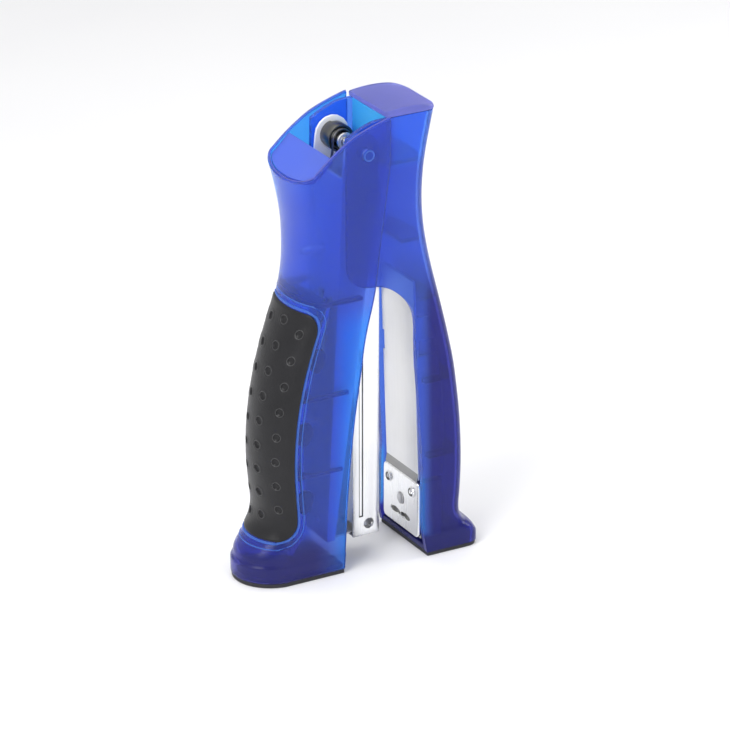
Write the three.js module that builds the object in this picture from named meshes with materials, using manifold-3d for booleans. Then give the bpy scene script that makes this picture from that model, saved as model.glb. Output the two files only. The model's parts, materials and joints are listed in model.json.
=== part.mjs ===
// Stand-up full-strip stapler: two upright translucent shells on one hinge pin, a rubber grip,
// a steel staple magazine inside the handle half and an anvil on the base half.
// Millimetres. +Z up, +Y across the width, +X from the handle half to the base half.
// The origin is at the middle of the footprint, on the surface the feet stand on.
import * as THREE from 'three';
import { mergeVertices } from 'three/addons/utils/BufferGeometryUtils.js';
import Module from 'manifold-3d';

const wasm = await Module();
wasm.setup();

// ---------- driving dimensions ----------
const GAP = 0.3;                    // running gap between neighbouring pieces
const PAD_H = 1.8;                  // rubber foot pads
const WALL = 2.0;                   // shell side walls
const HANDLE_W0 = 14.8;             // half width of the handle shell at the foot
const HANDLE_W1 = 17.6;             // and at the scooped top
const HEAD_W = 14.3;                // half width of the base head, inside the handle walls
const FOOT_W = 18.2;                // half width of the base foot
const PIVOT_X = -0.9;
const PIVOT_Z = 167.9;
const PIN_R = 2.4;
const RIB = 1.6;                    // shell ribs
const MAG_X0 = -2.1;                // magazine back edge
const MAG_X1 = 9.2;                 // magazine face toward the anvil
const MAG_W = 7.3;                  // half width of the magazine
const MAG_Z0 = 9.8;
const MAG_Z1 = 155.5;
const SHEET = 0.8;                  // magazine sheet
const MAG_PIN_X = 2.4;
const MAG_PIN_Z = 149;
const FRAME_W = 11.2;               // half width of the driver frame
const FRAME_T = 1.0;
const BLADE_Z = 11.3;
const PLATE_X = 22.9;               // anvil plate face
const ANVIL_Z0 = 5.8;
const ANVIL_Z1 = 28.8;
const STRIP_Z0 = 13.2;              // staple strip
const STRIP_Z1 = 66;
const FOLLOWER_L = 12;
const ROD_R = 1.2;
const ROD_X = 5.0;
const LEAF_T = 0.5;

// Height, crease X and bulge depth of the handle's rounded outer wall.
const HANDLE_OUTER = [
  [1.8, -35.4, 13.8], [8.2, -35.4, 13.8], [9.0, -35.2, 13.5], [11.5, -34.8, 12.9], [14.5, -33.6, 12.0],
  [18, -32.0, 10.7], [21, -30.9, 9.7], [24, -30.4, 9.0], [28, -30.3, 8.5], [36, -30.9, 8.7], [46, -31.5, 8.9],
  [56, -31.4, 8.9], [66, -30.6, 8.7], [76, -29.1, 8.4], [86, -26.9, 8.0], [96, -24.0, 7.5],
  [105, -21.0, 7.1], [113, -18.8, 7.0], [121, -17.6, 6.9], [130, -17.3, 6.9], [139, -17.7, 6.9],
  [148, -19.2, 6.8], [156, -21.2, 6.5], [164, -23.5, 6.4], [184, -29.0, 6.4],
];
// Height, crease X, bulge depth and half width of the base shell.
const BASE_OUTER = [
  [1.8, 42.0, 7.2, FOOT_W], [5.6, 42.0, 7.2, FOOT_W], [8.2, 40.2, 7.0, 18.0], [10.8, 36.9, 7.0, 17.4],
  [15, 35.0, 7.0, 16.9], [24, 35.4, 7.0, 16.8], [34, 35.9, 7.0, 16.6], [45, 35.8, 7.0, 16.4],
  [56, 35.2, 7.0, 16.2], [66, 34.2, 7.0, 15.9], [77, 32.8, 7.0, 15.5], [88, 30.6, 7.0, 15.1],
  [98, 28.3, 7.0, 14.7], [107, 26.1, 7.0, HEAD_W], [116, 23.7, 7.0, HEAD_W],
  [125, 21.6, 7.0, HEAD_W], [135, 19.9, 7.0, HEAD_W], [145, 19.2, 7.0, HEAD_W],
  [155, 19.6, 7.0, HEAD_W], [164, 20.8, 7.0, HEAD_W], [173, 22.6, 7.0, HEAD_W],
  [184, 24.9, 7.0, HEAD_W],
];
// Side view of the handle: inner edge and the scooped top.
const HANDLE_SIDE = [
  [-60, 1.8], [-9.8, 1.8], [-9.5, 7], [-9.2, 14], [-8.5, 30], [-7.3, 47], [-5.8, 62.5], [-3.6, 79],
  [-1.5, 95], [2.4, 113], [8.3, 164], [8.4, 181.0], [3.1, 179.5], [-2.3, 177.7], [-7.6, 175.4],
  [-13, 172.0], [-18.3, 168.0], [-23.4, 163.5], [-60, 134.5],
];
// Side view of the base: inner edge, shoulder fillet, hinge ears and the head.
const BASE_SIDE = [
  [60, 1.8], [24.3, 1.8], [23.0, 8.5], [22.9, 24], [22.9, 36], [22.5, 46.5], [21.9, 57], [21.4, 67],
  [20.8, 77.5], [20.5, 87.5], [20.6, 94], [20.2, 98.9], [19.3, 101.8], [17.8, 104.6], [15.1, 107.8],
  [12.1, 110.4], [8.8, 112.5], [5.5, 113.7], [2.4, 114.4], [-0.8, 114.8], [-4.9, 116.6], [-7.4, 120],
  [-8.2, 125], [-8.4, 174.2], [-4.6, 176.4], [-0.6, 178.1], [3.0, 179.3], [8.4, 179.5], [8.4, 179.6],
  [60, 179.6],
];

// ---------- helpers ----------
// Smooth value of one column of a height table.
function column(table, index, z) {
  if (z <= table[0][0]) {
    return table[0][index];
  }
  const last = table.length - 1;
  if (z >= table[last][0]) {
    return table[last][index];
  }
  let i = 0;
  while (z > table[i + 1][0]) {
    i += 1;
  }
  const slope = (k) => {
    const a = Math.max(0, k - 1);
    const b = Math.min(last, k + 1);
    return (table[b][index] - table[a][index]) / (table[b][0] - table[a][0]);
  };
  const h = table[i + 1][0] - table[i][0];
  const t = (z - table[i][0]) / h;
  const p0 = table[i][index];
  const p1 = table[i + 1][index];
  const m0 = slope(i) * h;
  const m1 = slope(i + 1) * h;
  const t2 = t * t;
  const t3 = t2 * t;
  return (2 * t3 - 3 * t2 + 1) * p0 + (t3 - 2 * t2 + t) * m0 + (3 * t2 - 2 * t3) * p1 + (t3 - t2) * m1;
}

function solid(geometry) {
  geometry.deleteAttribute('normal');
  geometry.deleteAttribute('uv');
  const merged = mergeVertices(geometry, 1e-5);
  return new wasm.Manifold(new wasm.Mesh({
    numProp: 3,
    vertProperties: new Float32Array(merged.attributes.position.array),
    triVerts: new Uint32Array(merged.index.array),
  }));
}

// Closed body through a list of rings with equal point counts.
function loft(path) {
  const flat = (ring) => ring.map((p) => new THREE.Vector2(p[0], p[1]));
  const rings = THREE.ShapeUtils.isClockWise(flat(path[0])) ? path.map((ring) => [...ring].reverse()) : path;
  const n = rings[0].length;
  const index = [];
  for (let r = 0; r + 1 < rings.length; r += 1) {
    for (let i = 0; i < n; i += 1) {
      const j = (i + 1) % n;
      const a = r * n + i;
      const b = r * n + j;
      index.push(a, b, b + n, a, b + n, a + n);
    }
  }
  const top = (rings.length - 1) * n;
  for (const [a, b, c] of THREE.ShapeUtils.triangulateShape(flat(rings[0]), [])) {
    index.push(c, b, a);
  }
  for (const [a, b, c] of THREE.ShapeUtils.triangulateShape(flat(rings[rings.length - 1]), [])) {
    index.push(top + a, top + b, top + c);
  }
  const geometry = new THREE.BufferGeometry();
  geometry.setAttribute('position', new THREE.Float32BufferAttribute(rings.flat().flat(), 3));
  geometry.setIndex(index);
  return solid(geometry);
}

// A side-view outline given a width from y0 to y1.
function plate(points, y0, y1, holes = []) {
  const shape = new THREE.Shape(points.map(([x, z]) => new THREE.Vector2(x, z)));
  for (const hole of holes) {
    shape.holes.push(new THREE.Path(hole.map(([x, z]) => new THREE.Vector2(x, z))));
  }
  const geometry = new THREE.ExtrudeGeometry(shape, { depth: y1 - y0, bevelEnabled: false });
  return solid(geometry.rotateX(Math.PI / 2).translate(0, y1, 0));
}

function box(x0, x1, y0, y1, z0, z1) {
  const geometry = new THREE.BoxGeometry(x1 - x0, y1 - y0, z1 - z0);
  return solid(geometry.translate((x0 + x1) / 2, (y0 + y1) / 2, (z0 + z1) / 2));
}

function rodY(x, z, r, y0, y1, sides = 24) {
  const geometry = new THREE.CylinderGeometry(r, r, y1 - y0, sides);
  return solid(geometry.translate(x, (y0 + y1) / 2, z));
}

function rodX(y, z, r, x0, x1, sides = 18) {
  const geometry = new THREE.CylinderGeometry(r, r, x1 - x0, sides).rotateZ(Math.PI / 2);
  return solid(geometry.translate((x0 + x1) / 2, y, z));
}

function rodZ(x, y, r, z0, z1, sides = 16) {
  const geometry = new THREE.CylinderGeometry(r, r, z1 - z0, sides).rotateX(Math.PI / 2);
  return solid(geometry.translate(x, y, (z0 + z1) / 2));
}

// A body turned about the Y direction from a profile of [radius, y] points.
function turnedY(x, z, profile, sides = 24) {
  const geometry = new THREE.LatheGeometry(profile.map(([r, y]) => new THREE.Vector2(r, y)), sides);
  return solid(geometry.translate(x, 0, z));
}

// Round wire along a path.
function wire(points, r, steps, sides = 8) {
  const circle = new THREE.Shape();
  circle.absarc(0, 0, r, 0, Math.PI * 2, false);
  const path = new THREE.CatmullRomCurve3(points.map(([x, y, z]) => new THREE.Vector3(x, y, z)));
  const geometry = new THREE.ExtrudeGeometry(circle, { steps, curveSegments: sides / 2, extrudePath: path });
  return solid(geometry);
}

// Plan of a shell: straight sides from the open edge to the crease, then a rounded end.
// side is -1 for an end toward -X and 1 for an end toward +X.
function roundedEnd(side, crease, depth, width, power, steps, reach = 1) {
  const points = [];
  for (let i = 0; i <= steps; i += 1) {
    const angle = (i / steps - 0.5) * Math.PI * reach;
    const c = Math.abs(Math.cos(angle)) ** (2 / power);
    const s = Math.abs(Math.sin(angle)) ** (2 / power) * Math.sign(angle);
    points.push([crease + side * depth * c, width * s]);
  }
  return points;
}

function channelRing(z, side, open, outer, inner, power) {
  const out = roundedEnd(side, outer[0], outer[1], outer[2], power, 14);
  const back = roundedEnd(side, inner[0], inner[1], inner[2], power, 14).reverse();
  const ring = [[open, -outer[2]], ...out, [open, outer[2]], [open, inner[2]], ...back, [open, -inner[2]]];
  return ring.map(([x, y]) => [x, y, z]);
}

function fullRing(z, side, open, outer, power) {
  const out = roundedEnd(side, outer[0], outer[1], outer[2], power, 14);
  return [[open, -outer[2]], ...out, [open, outer[2]]].map(([x, y]) => [x, y, z]);
}

function join(...bodies) {
  return bodies.reduce((a, b) => a.add(b));
}

function cut(body, ...tools) {
  return tools.reduce((a, b) => a.subtract(b), body);
}

const assembly = new THREE.Group();
assembly.name = 'stand_up_stapler';

function piece(name, body, color) {
  const mesh = body.getMesh();
  const geometry = new THREE.BufferGeometry();
  geometry.setAttribute('position', new THREE.Float32BufferAttribute(mesh.vertProperties, 3));
  geometry.setIndex(new THREE.Uint32BufferAttribute(mesh.triVerts, 1));
  geometry.computeVertexNormals();
  const node = new THREE.Mesh(geometry, new THREE.MeshStandardMaterial({ color }));
  node.name = name;
  assembly.add(node);
}

const BLUE = 0x3b4be0;
const RUBBER = 0x2c2c30;
const STEEL = 0xd6d8da;
const DARK_STEEL = 0x6d6e70;

// ---------- base half ----------
const BASE_POWER = 3.2;
const baseHeights = BASE_OUTER.map((row) => row[0]);

function baseAt(z) {
  return [column(BASE_OUTER, 1, z), column(BASE_OUTER, 2, z), column(BASE_OUTER, 3, z)];
}

function baseSolid(shrink, z0, z1) {
  const rings = [z0, ...baseHeights.filter((z) => z > z0 + 0.5 && z < z1 - 0.5), z1].map((z) => {
    const [crease, depth, width] = baseAt(z);
    return fullRing(z, 1, -12, [crease, depth - shrink, width - shrink], BASE_POWER);
  });
  return loft(rings);
}

const baseWalls = loft(baseHeights.map((z) => {
  const [crease, depth, width] = baseAt(z);
  return channelRing(z, 1, -12, [crease, depth, width], [crease, depth - 2.2, width - WALL], BASE_POWER);
}));
const basePlan = baseSolid(0.2, 1.8, 179.6);
const baseRibs = join(
  box(22, 50, -19, 19, 1.8, 3.8),
  box(26.5, 44, -17, 17, 39.2, 39.2 + RIB),
  box(25, 44, -17, 17, 70.2, 70.2 + RIB),
  box(22.4, 44, -17, 17, 103.6, 103.6 + RIB),
  box(15.5, 40, -15, 15, 128.5, 128.5 + RIB),
  box(8.8, 40, -15, 15, 160.2, 162.0),
  box(8.8, 10.4, -15, 15, 160.2, 179.6),
  box(24.9, 26.6, -17, -13.2, 8, 96),
  box(24.9, 26.6, 13.2, 17, 8, 96),
).intersect(basePlan);
const baseShell = cut(
  baseWalls.add(baseRibs).intersect(plate(BASE_SIDE, -20, 20)),
  rodY(PIVOT_X, PIVOT_Z, PIN_R, -20, 20),
);
piece('base_shell', baseShell, BLUE);

// Lid of the pocket in the head, domed along X, with a locating lip below.
const CAP_TOP = [
  [8.5, 179.9], [8.5, 182.0], [12.7, 182.5], [17.5, 182.7], [22, 182.5], [26, 181.9], [29, 181.1],
  [40, 179.9],
];
const capRings = [179.9, 180.9, 181.6, 182.7].map((z, i) => {
  const [crease, depth] = baseAt(z);
  const inset = [0, 0, 0.5, 1.6][i];
  return fullRing(z, 1, 8.4, [crease, depth - inset, HEAD_W - inset * 0.5], BASE_POWER);
});
const capLip = cut(
  box(10.8, 25.6, -11.9, 11.9, 177.8, 180.2),
  box(12.2, 24.2, -10.5, 10.5, 177, 179.9),
);
piece('head_cap', loft(capRings).intersect(plate(CAP_TOP, -20, 20)).add(capLip), BLUE);

// Pressed steel channel that closes the front of the base above the anvil and runs up behind
// the shoulder. Its flanges lie inside the side walls and are slotted for the ribs.
const CHANNEL_W = 12.0;
const flange = [
  [23.9, 30.2], [34, 30.2], [34.4, 45], [34, 60], [32.8, 72], [31, 84], [29, 94], [27.4, 97], [22, 97],
  [22.6, 66],
];
const plateFace = box(0, 0.9, -CHANNEL_W, CHANNEL_W, 0, 82.5).rotate([0, -2.06, 0]).translate([23.7, 0, 29.6]);
const basePlate = cut(
  join(plateFace, plate(flange, -CHANNEL_W, -CHANNEL_W + 0.8), plate(flange, CHANNEL_W - 0.8, CHANNEL_W)),
  box(15, 22.9, -20, -10.9, 76, 84),
  box(15, 22.9, 10.9, 20, 76, 84),
  box(26.2, 40, -20, 20, 38.9, 39.5 + RIB),
  box(24.7, 40, -20, 20, 69.9, 70.5 + RIB),
  box(23.2, 40, -20, 20, 81, 87.5),
);
piece('base_plate', basePlate, STEEL);

// Anvil plate with rounded corners, two raised stops and the clinch recess.
const anvilShape = new THREE.Shape();
const AW = 13.4;
anvilShape.moveTo(-AW + 2.5, ANVIL_Z0);
anvilShape.lineTo(AW - 2.5, ANVIL_Z0);
anvilShape.absarc(AW - 2.5, ANVIL_Z0 + 2.5, 2.5, -Math.PI / 2, 0, false);
anvilShape.absarc(AW - 2.5, ANVIL_Z1 - 2.5, 2.5, 0, Math.PI / 2, false);
anvilShape.absarc(-AW + 2.5, ANVIL_Z1 - 2.5, 2.5, Math.PI / 2, Math.PI, false);
anvilShape.absarc(-AW + 2.5, ANVIL_Z0 + 2.5, 2.5, Math.PI, Math.PI * 1.5, false);
const anvilBlank = new THREE.ExtrudeGeometry(anvilShape, { depth: 1.4, bevelEnabled: false, curveSegments: 5 });
anvilBlank.applyMatrix4(new THREE.Matrix4().set(0, 0, 1, PLATE_X, 1, 0, 0, 0, 0, 1, 0, 0, 0, 0, 0, 1));

function stop(y) {
  const ring = cut(rodX(y, 23.8, 1.9, PLATE_X - 0.7, PLATE_X + 0.6), rodX(y, 23.8, 1.0, PLATE_X - 2, PLATE_X));
  return cut(ring, box(PLATE_X - 2, PLATE_X, y - 0.7, y + 0.7, 21, 23.8));
}

function clinch(side) {
  const ball = new THREE.SphereGeometry(1, 14, 8);
  return solid(ball.scale(0.8, 3.6, 1.35).translate(PLATE_X, side * 3.7, 11.4));
}

const anvil = cut(
  join(solid(anvilBlank), stop(-8.6), stop(8.6)),
  clinch(-1),
  clinch(1),
  rodX(0, 17.8, 1.5, PLATE_X - 2, PLATE_X + 3),
);
piece('anvil_plate', anvil, STEEL);
const anvilRivet = join(
  rodX(0, 17.8, 2.25, PLATE_X - 0.6, PLATE_X - 0.02),
  rodX(0, 17.8, 1.45, PLATE_X - 0.3, PLATE_X + 4.2),
);
piece('anvil_rivet', anvilRivet, DARK_STEEL);

// Block behind the anvil that takes the blow, held between the shell walls.
const anvilBlock = cut(
  box(PLATE_X + 1.7, 33.5, -12.4, 12.4, 5.2, 28.6),
  box(PLATE_X + 3.2, 34, -10.9, 10.9, 7.0, 27.0),
  rodX(0, 17.8, 1.6, PLATE_X, PLATE_X + 4),
);
piece('anvil_support', anvilBlock, DARK_STEEL);

const basePadRing = (z) => fullRing(z, 1, 24.6, [42, 6.8, FOOT_W - 0.4], BASE_POWER);
piece('base_foot_pad', loft([basePadRing(0), basePadRing(PAD_H - 0.05)]), RUBBER);

// Hinge pin, chamfered at both ends and relieved over its front half.
const pinR = PIN_R - 0.05;
const pinProfile = [
  [0, -16.3], [pinR - 0.5, -16.3], [pinR, -15.8], [pinR, -10.7], [1.5, -10.7], [1.5, 1.4], [pinR, 1.4],
  [pinR, 15.8], [pinR - 0.5, 16.3], [0, 16.3],
];
piece('hinge_pin', turnedY(PIVOT_X, PIVOT_Z, pinProfile), STEEL);

// ---------- handle half ----------
const HANDLE_POWER = 2.1;
const handleHeights = HANDLE_OUTER.map((row) => row[0]);

function handleAt(z) {
  const width = HANDLE_W0 + (HANDLE_W1 - HANDLE_W0) * Math.min(1, z / 165);
  return [column(HANDLE_OUTER, 1, z), column(HANDLE_OUTER, 2, z), width];
}

function handleSolid(shrink, z0, z1) {
  const rings = [z0, ...handleHeights.filter((z) => z > z0 + 0.5 && z < z1 - 0.5), z1].map((z) => {
    const [crease, depth, width] = handleAt(z);
    return fullRing(z, -1, 12, [crease, depth - shrink, width - shrink], HANDLE_POWER);
  });
  return loft(rings);
}

// The outer wall is thicker behind the grip.
function gripBacking(z) {
  const rise = THREE.MathUtils.smoothstep(z, 11, 17);
  const fall = 1 - THREE.MathUtils.smoothstep(z, 112, 120);
  return Math.min(rise, fall);
}

const handleWalls = loft(handleHeights.map((z) => {
  const [crease, depth, width] = handleAt(z);
  const wall = 2.2 + 1.9 * gripBacking(z);
  return channelRing(z, -1, 12, [crease, depth, width], [crease, depth - wall, width - WALL], HANDLE_POWER);
}));
const scoopPlate = plate([
  [-16.8, 169.1], [-18.3, 167.9], [-23.4, 163.4], [-40, 150.2], [-40, 147.6], [-23.4, 160.8],
  [-18.3, 165.4], [-16.0, 167.2],
], -20, 20);

// Ribs leave the middle clear for the driver frame.
function handleRib(x0, x1, z) {
  return cut(box(x0, x1, -16, 16, z, z + RIB), box(x0 + 13, x1 + 1, -12.2, 12.2, z - 1, z + RIB + 1));
}

const frameBack = (z) => -8.6 - (160 - z) * 0.05;
const bossHeights = [58, 128];
const handleInner = join(
  box(-50, -9.6, -17, 17, 1.8, 3.8),
  handleRib(-40, -8.8, 42.4),
  handleRib(-38, -6.2, 73.4),
  handleRib(-30, -2.2, 110.4),
  scoopPlate,
  ...bossHeights.map((z) => rodX(0, z, 3.4, -45, frameBack(z) - 0.9)),
).intersect(handleSolid(0.2, 1.8, 183));

// Grip: a band round the outer wall, its ends rounded where they meet the side walls.
const GRIP_Z0 = 18.0;
const GRIP_Z1 = 108.4;
const gripLevels = [
  GRIP_Z0, 18.8, 20.2, 22.4, 26, 31, 38, 46, 56, 66, 76, 86, 94, 99, 102.5, 105.2, 107.2, GRIP_Z1,
];
function gripRing(z, outset, inset, extra) {
  const [crease, depth, width] = handleAt(z);
  const fromEnd = Math.min((z - GRIP_Z0) * 0.9, GRIP_Z1 - z) + extra;
  const reach = 0.93 - 0.34 * (1 - Math.min(1, fromEnd / 8)) ** 2.4 + extra * 0.02;
  const out = roundedEnd(-1, crease, depth + outset, width + outset * 0.4, HANDLE_POWER, 14, reach);
  const back = roundedEnd(-1, crease, depth - inset, width - inset * 0.55, HANDLE_POWER, 14, reach);
  return [...out, ...back.reverse()].map(([x, y]) => [x, y, z]);
}
const gripBody = loft(gripLevels.map((z) => gripRing(z, 0.45, 1.6, 0)));
const pocketLevels = [GRIP_Z0 - GAP, ...gripLevels.slice(1, -1), GRIP_Z1 + GAP];
const gripPocket = loft(pocketLevels.map((z) => gripRing(z, 2, 1.95, 0.3)));

const handleShell = cut(
  handleWalls.add(handleInner).intersect(plate(HANDLE_SIDE, -20, 20)),
  gripPocket,
  rodY(PIVOT_X, PIVOT_Z, PIN_R + 0.1, -20, 20),
  rodY(PIVOT_X, PIVOT_Z, 2.7, -20, -HANDLE_W1 + 0.9),
  rodY(PIVOT_X, PIVOT_Z, 2.7, HANDLE_W1 - 0.9, 20),
  ...bossHeights.map((z) => rodX(0, z, 1.5, frameBack(z) - 11, 0)),
);
piece('handle_shell', handleShell, BLUE);

// Shallow round dimples in four staggered columns: angle round the wall, lowest height, pitch, count.
const DIMPLE_COLUMNS = [
  [-0.80, 31, 9.95, 8],
  [-0.18, 26.6, 9.65, 9],
  [0.41, 24.8, 9.65, 9],
  [0.94, 31, 9.95, 8],
];
const dimples = [];
for (const [angle, z0, pitch, count] of DIMPLE_COLUMNS) {
  for (let row = 0; row < count; row += 1) {
    const z = z0 + row * pitch;
    const [crease, depth, width] = handleAt(z);
    const x = crease - (depth + 0.45) * Math.cos(angle);
    const y = (width + 0.2) * Math.sin(angle);
    const normal = new THREE.Vector3(-Math.cos(angle) / depth, Math.sin(angle) / width, 0).normalize();
    const bead = new THREE.CylinderGeometry(1.9, 1.2, 1.2, 10).rotateZ(-Math.PI / 2);
    const turn = new THREE.Quaternion().setFromUnitVectors(new THREE.Vector3(-1, 0, 0), normal);
    dimples.push(solid(bead.applyQuaternion(turn).translate(x, y, z)));
  }
}
piece('grip', cut(gripBody, ...dimples), RUBBER);

const handlePadRing = (z) => fullRing(z, -1, -10, [-35.2, 13.1, HANDLE_W0 - 0.4], HANDLE_POWER);
piece('handle_foot_pad', loft([handlePadRing(0), handlePadRing(PAD_H - 0.05)]), RUBBER);

// Snap-in buttons over the pin ends.
for (const [name, side] of [['pin_button_front', -1], ['pin_button_back', 1]]) {
  const y0 = side * (HANDLE_W1 - 0.85);
  const y1 = side * (HANDLE_W1 + 0.1);
  piece(name, rodY(PIVOT_X, PIVOT_Z, 2.4, Math.min(y0, y1), Math.max(y0, y1), 20), BLUE);
}

// Driver frame: a pressed channel with round ears on the hinge pin.
const frameOutline = [
  [frameBack(13), 13], [frameBack(13) + 3.4, 13], [-3.4, 80], [1.6, 120], [5.4, 150], [6.1, 167.9],
];
for (let i = 1; i <= 8; i += 1) {
  const angle = (i / 8) * Math.PI;
  frameOutline.push([PIVOT_X + 7 * Math.cos(angle), PIVOT_Z + 7 * Math.sin(angle)]);
}
frameOutline.push([frameBack(160), 160]);
const frameBend = [[frameBack(13), 13], [frameBack(13) + FRAME_T, 13], [frameBack(158) + FRAME_T, 158],
  [frameBack(158), 158]];
const driverFrame = cut(
  join(
    plate(frameOutline, -FRAME_W, -FRAME_W + FRAME_T),
    plate(frameOutline, FRAME_W - FRAME_T, FRAME_W),
    plate(frameBend, -FRAME_W + 0.5, FRAME_W - 0.5),
  ),
  rodY(PIVOT_X, PIVOT_Z, PIN_R, -20, 20),
  rodY(MAG_PIN_X, MAG_PIN_Z, 1.6, -20, 20, 16),
  ...bossHeights.map((z) => rodX(0, z, 1.7, -30, 0)),
  rodX(-3.6, 19.5, 1.3, -30, 0, 12),
  rodX(3.6, 19.5, 1.3, -30, 0, 12),
  box(-20, 0, -3, 3, 84, 112),
);
piece('driver_frame', driverFrame, STEEL);

// Driver blade: an angle whose edge pushes the lowest staple.
const bladeBack = frameBack(24) + FRAME_T + GAP;
const blade = cut(
  join(
    box(bladeBack, -0.7, -5.9, 5.9, BLADE_Z, BLADE_Z + 0.6),
    box(bladeBack, bladeBack + 0.9, -5.9, 5.9, BLADE_Z, 24),
  ),
  rodX(-3.6, 19.5, 1.3, -30, 0, 12),
  rodX(3.6, 19.5, 1.3, -30, 0, 12),
);
piece('driver_blade', blade, DARK_STEEL);
for (const [name, y] of [['blade_rivet_front', -3.6], ['blade_rivet_back', 3.6]]) {
  const rivet = join(
    rodX(y, 19.5, 1.05, frameBack(19.5) - 0.6, bladeBack + 1.3, 12),
    rodX(y, 19.5, 2.0, bladeBack + 1.2, bladeBack + 1.9, 12),
  );
  piece(name, rivet, STEEL);
}
bossHeights.forEach((z, i) => {
  const seat = frameBack(z) + FRAME_T + GAP + (i === 1 ? LEAF_T + GAP : 0);
  const screw = cut(
    join(rodX(0, z, 1.25, frameBack(z) - 9, seat + 0.4, 14), rodX(0, z, 2.7, seat, seat + 1.5, 18)),
    box(seat + 0.8, seat + 3, -2, 2, z - 0.35, z + 0.35),
    box(seat + 0.8, seat + 3, -0.35, 0.35, z - 2, z + 2),
  );
  piece(i === 0 ? 'frame_screw_lower' : 'frame_screw_upper', screw, STEEL);
});

// Torsion spring on the thick half of the pin; it holds the handle open.
// One leg bears on the driver frame, the other on the web of the base head.
const SPRING_R = 3.75;
function torsionSpring(start, turns) {
  const pitch = 1.08;
  const points = [
    [frameBack(150) + FRAME_T + 0.9, start, 150],
    [PIVOT_X - SPRING_R - 0.2, start, 159],
  ];
  for (let i = 0; i <= turns * 12; i += 1) {
    const angle = Math.PI - (i / 12) * Math.PI * 2;
    const y = start + (i / 12) * pitch;
    points.push([PIVOT_X + SPRING_R * Math.cos(angle), y, PIVOT_Z + SPRING_R * Math.sin(angle)]);
  }
  const y = start + turns * pitch;
  points.push([PIVOT_X + 3, y, PIVOT_Z + SPRING_R + 0.1], [8.1, y, PIVOT_Z + SPRING_R + 0.1]);
  return points;
}
piece('torsion_spring', wire(torsionSpring(2.8, 6.25), 0.48, 110, 6), DARK_STEEL);

// Drum that covers the spring, notched where the long leg leaves it, and the collar at its end.
const drumProfile = [[4.55, 3.6], [5.3, 3.6], [5.3, 9.95], [4.55, 9.95], [4.55, 3.6]];
const drum = cut(
  turnedY(PIVOT_X, PIVOT_Z, drumProfile, 36),
  box(PIVOT_X - 1, 12, 8.8, 12, PIVOT_Z + 2.6, PIVOT_Z + 7),
);
piece('spring_drum', drum, DARK_STEEL);
const collar = [[1.8, 0.1], [3.3, 0.1], [3.3, 1.1], [1.8, 1.1], [1.8, 0.1]];
piece('pin_collar', turnedY(PIVOT_X, PIVOT_Z, collar, 32), STEEL);

// Pin on which the magazine hangs in the driver frame.
const magPin = join(
  rodY(MAG_PIN_X, MAG_PIN_Z, 1.3, -FRAME_W - 0.2, FRAME_W + 0.2, 16),
  rodY(MAG_PIN_X, MAG_PIN_Z, 2.3, -FRAME_W - 0.85, -FRAME_W - 0.15, 16),
  rodY(MAG_PIN_X, MAG_PIN_Z, 2.3, FRAME_W + 0.15, FRAME_W + 0.85, 16),
);
piece('magazine_pin', magPin, STEEL);

// Leaf spring, held by the upper frame screw, that presses the magazine out of the handle.
const leafX = (z) => frameBack(z) + FRAME_T + GAP;
const leaf = [
  [leafX(132), 132], [leafX(132) + LEAF_T, 132], [leafX(122) + LEAF_T, 122], [-5.6, 104], [-2.9, 84],
  [-2.5, 80], [-3.8, 74], [-4.3, 74.2], [-3.1, 80], [-3.5, 84], [-6.2, 104], [leafX(122), 122],
];
piece('magazine_spring', cut(plate(leaf, -7.1, 7.1), rodX(0, 128, 1.5, -20, 0)), DARK_STEEL);

// ---------- magazine ----------
const grooveLine = [[0.5, 17.6], [2.3, 17.6], [2.3, 87], [0.5, 87]];
const channel = cut(
  join(
    box(MAG_X0, MAG_X1, -MAG_W, -MAG_W + SHEET, MAG_Z0, MAG_Z1),
    box(MAG_X0, MAG_X1, MAG_W - SHEET, MAG_W, MAG_Z0, MAG_Z1),
    box(MAG_X1 - SHEET, MAG_X1, -MAG_W, MAG_W, MAG_Z0, MAG_Z1),
  ),
  rodY(4.8, 14.4, 2.15, -20, 20, 20),
  plate(grooveLine, -20, -MAG_W + 0.35),
  plate(grooveLine, MAG_W - 0.35, 20),
  box(MAG_X1 - 2, MAG_X1 + 1, -6.3, 6.3, BLADE_Z - 0.5, BLADE_Z + 1.5),
  rodY(MAG_PIN_X, MAG_PIN_Z, 1.6, -20, 20, 16),
);
piece('magazine_channel', channel, STEEL);

// Rail inside the staples, slotted for the follower's tongue.
const rail = cut(
  box(1.2, MAG_X1 - SHEET - GAP, -5.5, 5.5, STRIP_Z0 + 0.4, 142),
  box(2.0, MAG_X1, -4.7, 4.7, STRIP_Z0 + 1.2, 150),
  box(0, 2.5, -1.6, 1.6, 20, 138),
);
piece('staple_rail', rail, STEEL);

const nose = box(MAG_X0 + 0.3, MAG_X1 - SHEET - GAP, -6.2, 6.2, MAG_Z0, MAG_Z0 + 0.6);
piece('nose_plate', nose, DARK_STEEL);

// Staple strip: crowns toward the driver, legs toward the anvil.
const strip = cut(
  box(0.15, 6.3, -6.3, 6.3, STRIP_Z0, STRIP_Z1),
  box(0.75, 8, -5.75, 5.75, 10, 80),
);
piece('staple_strip', strip, STEEL);

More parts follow.
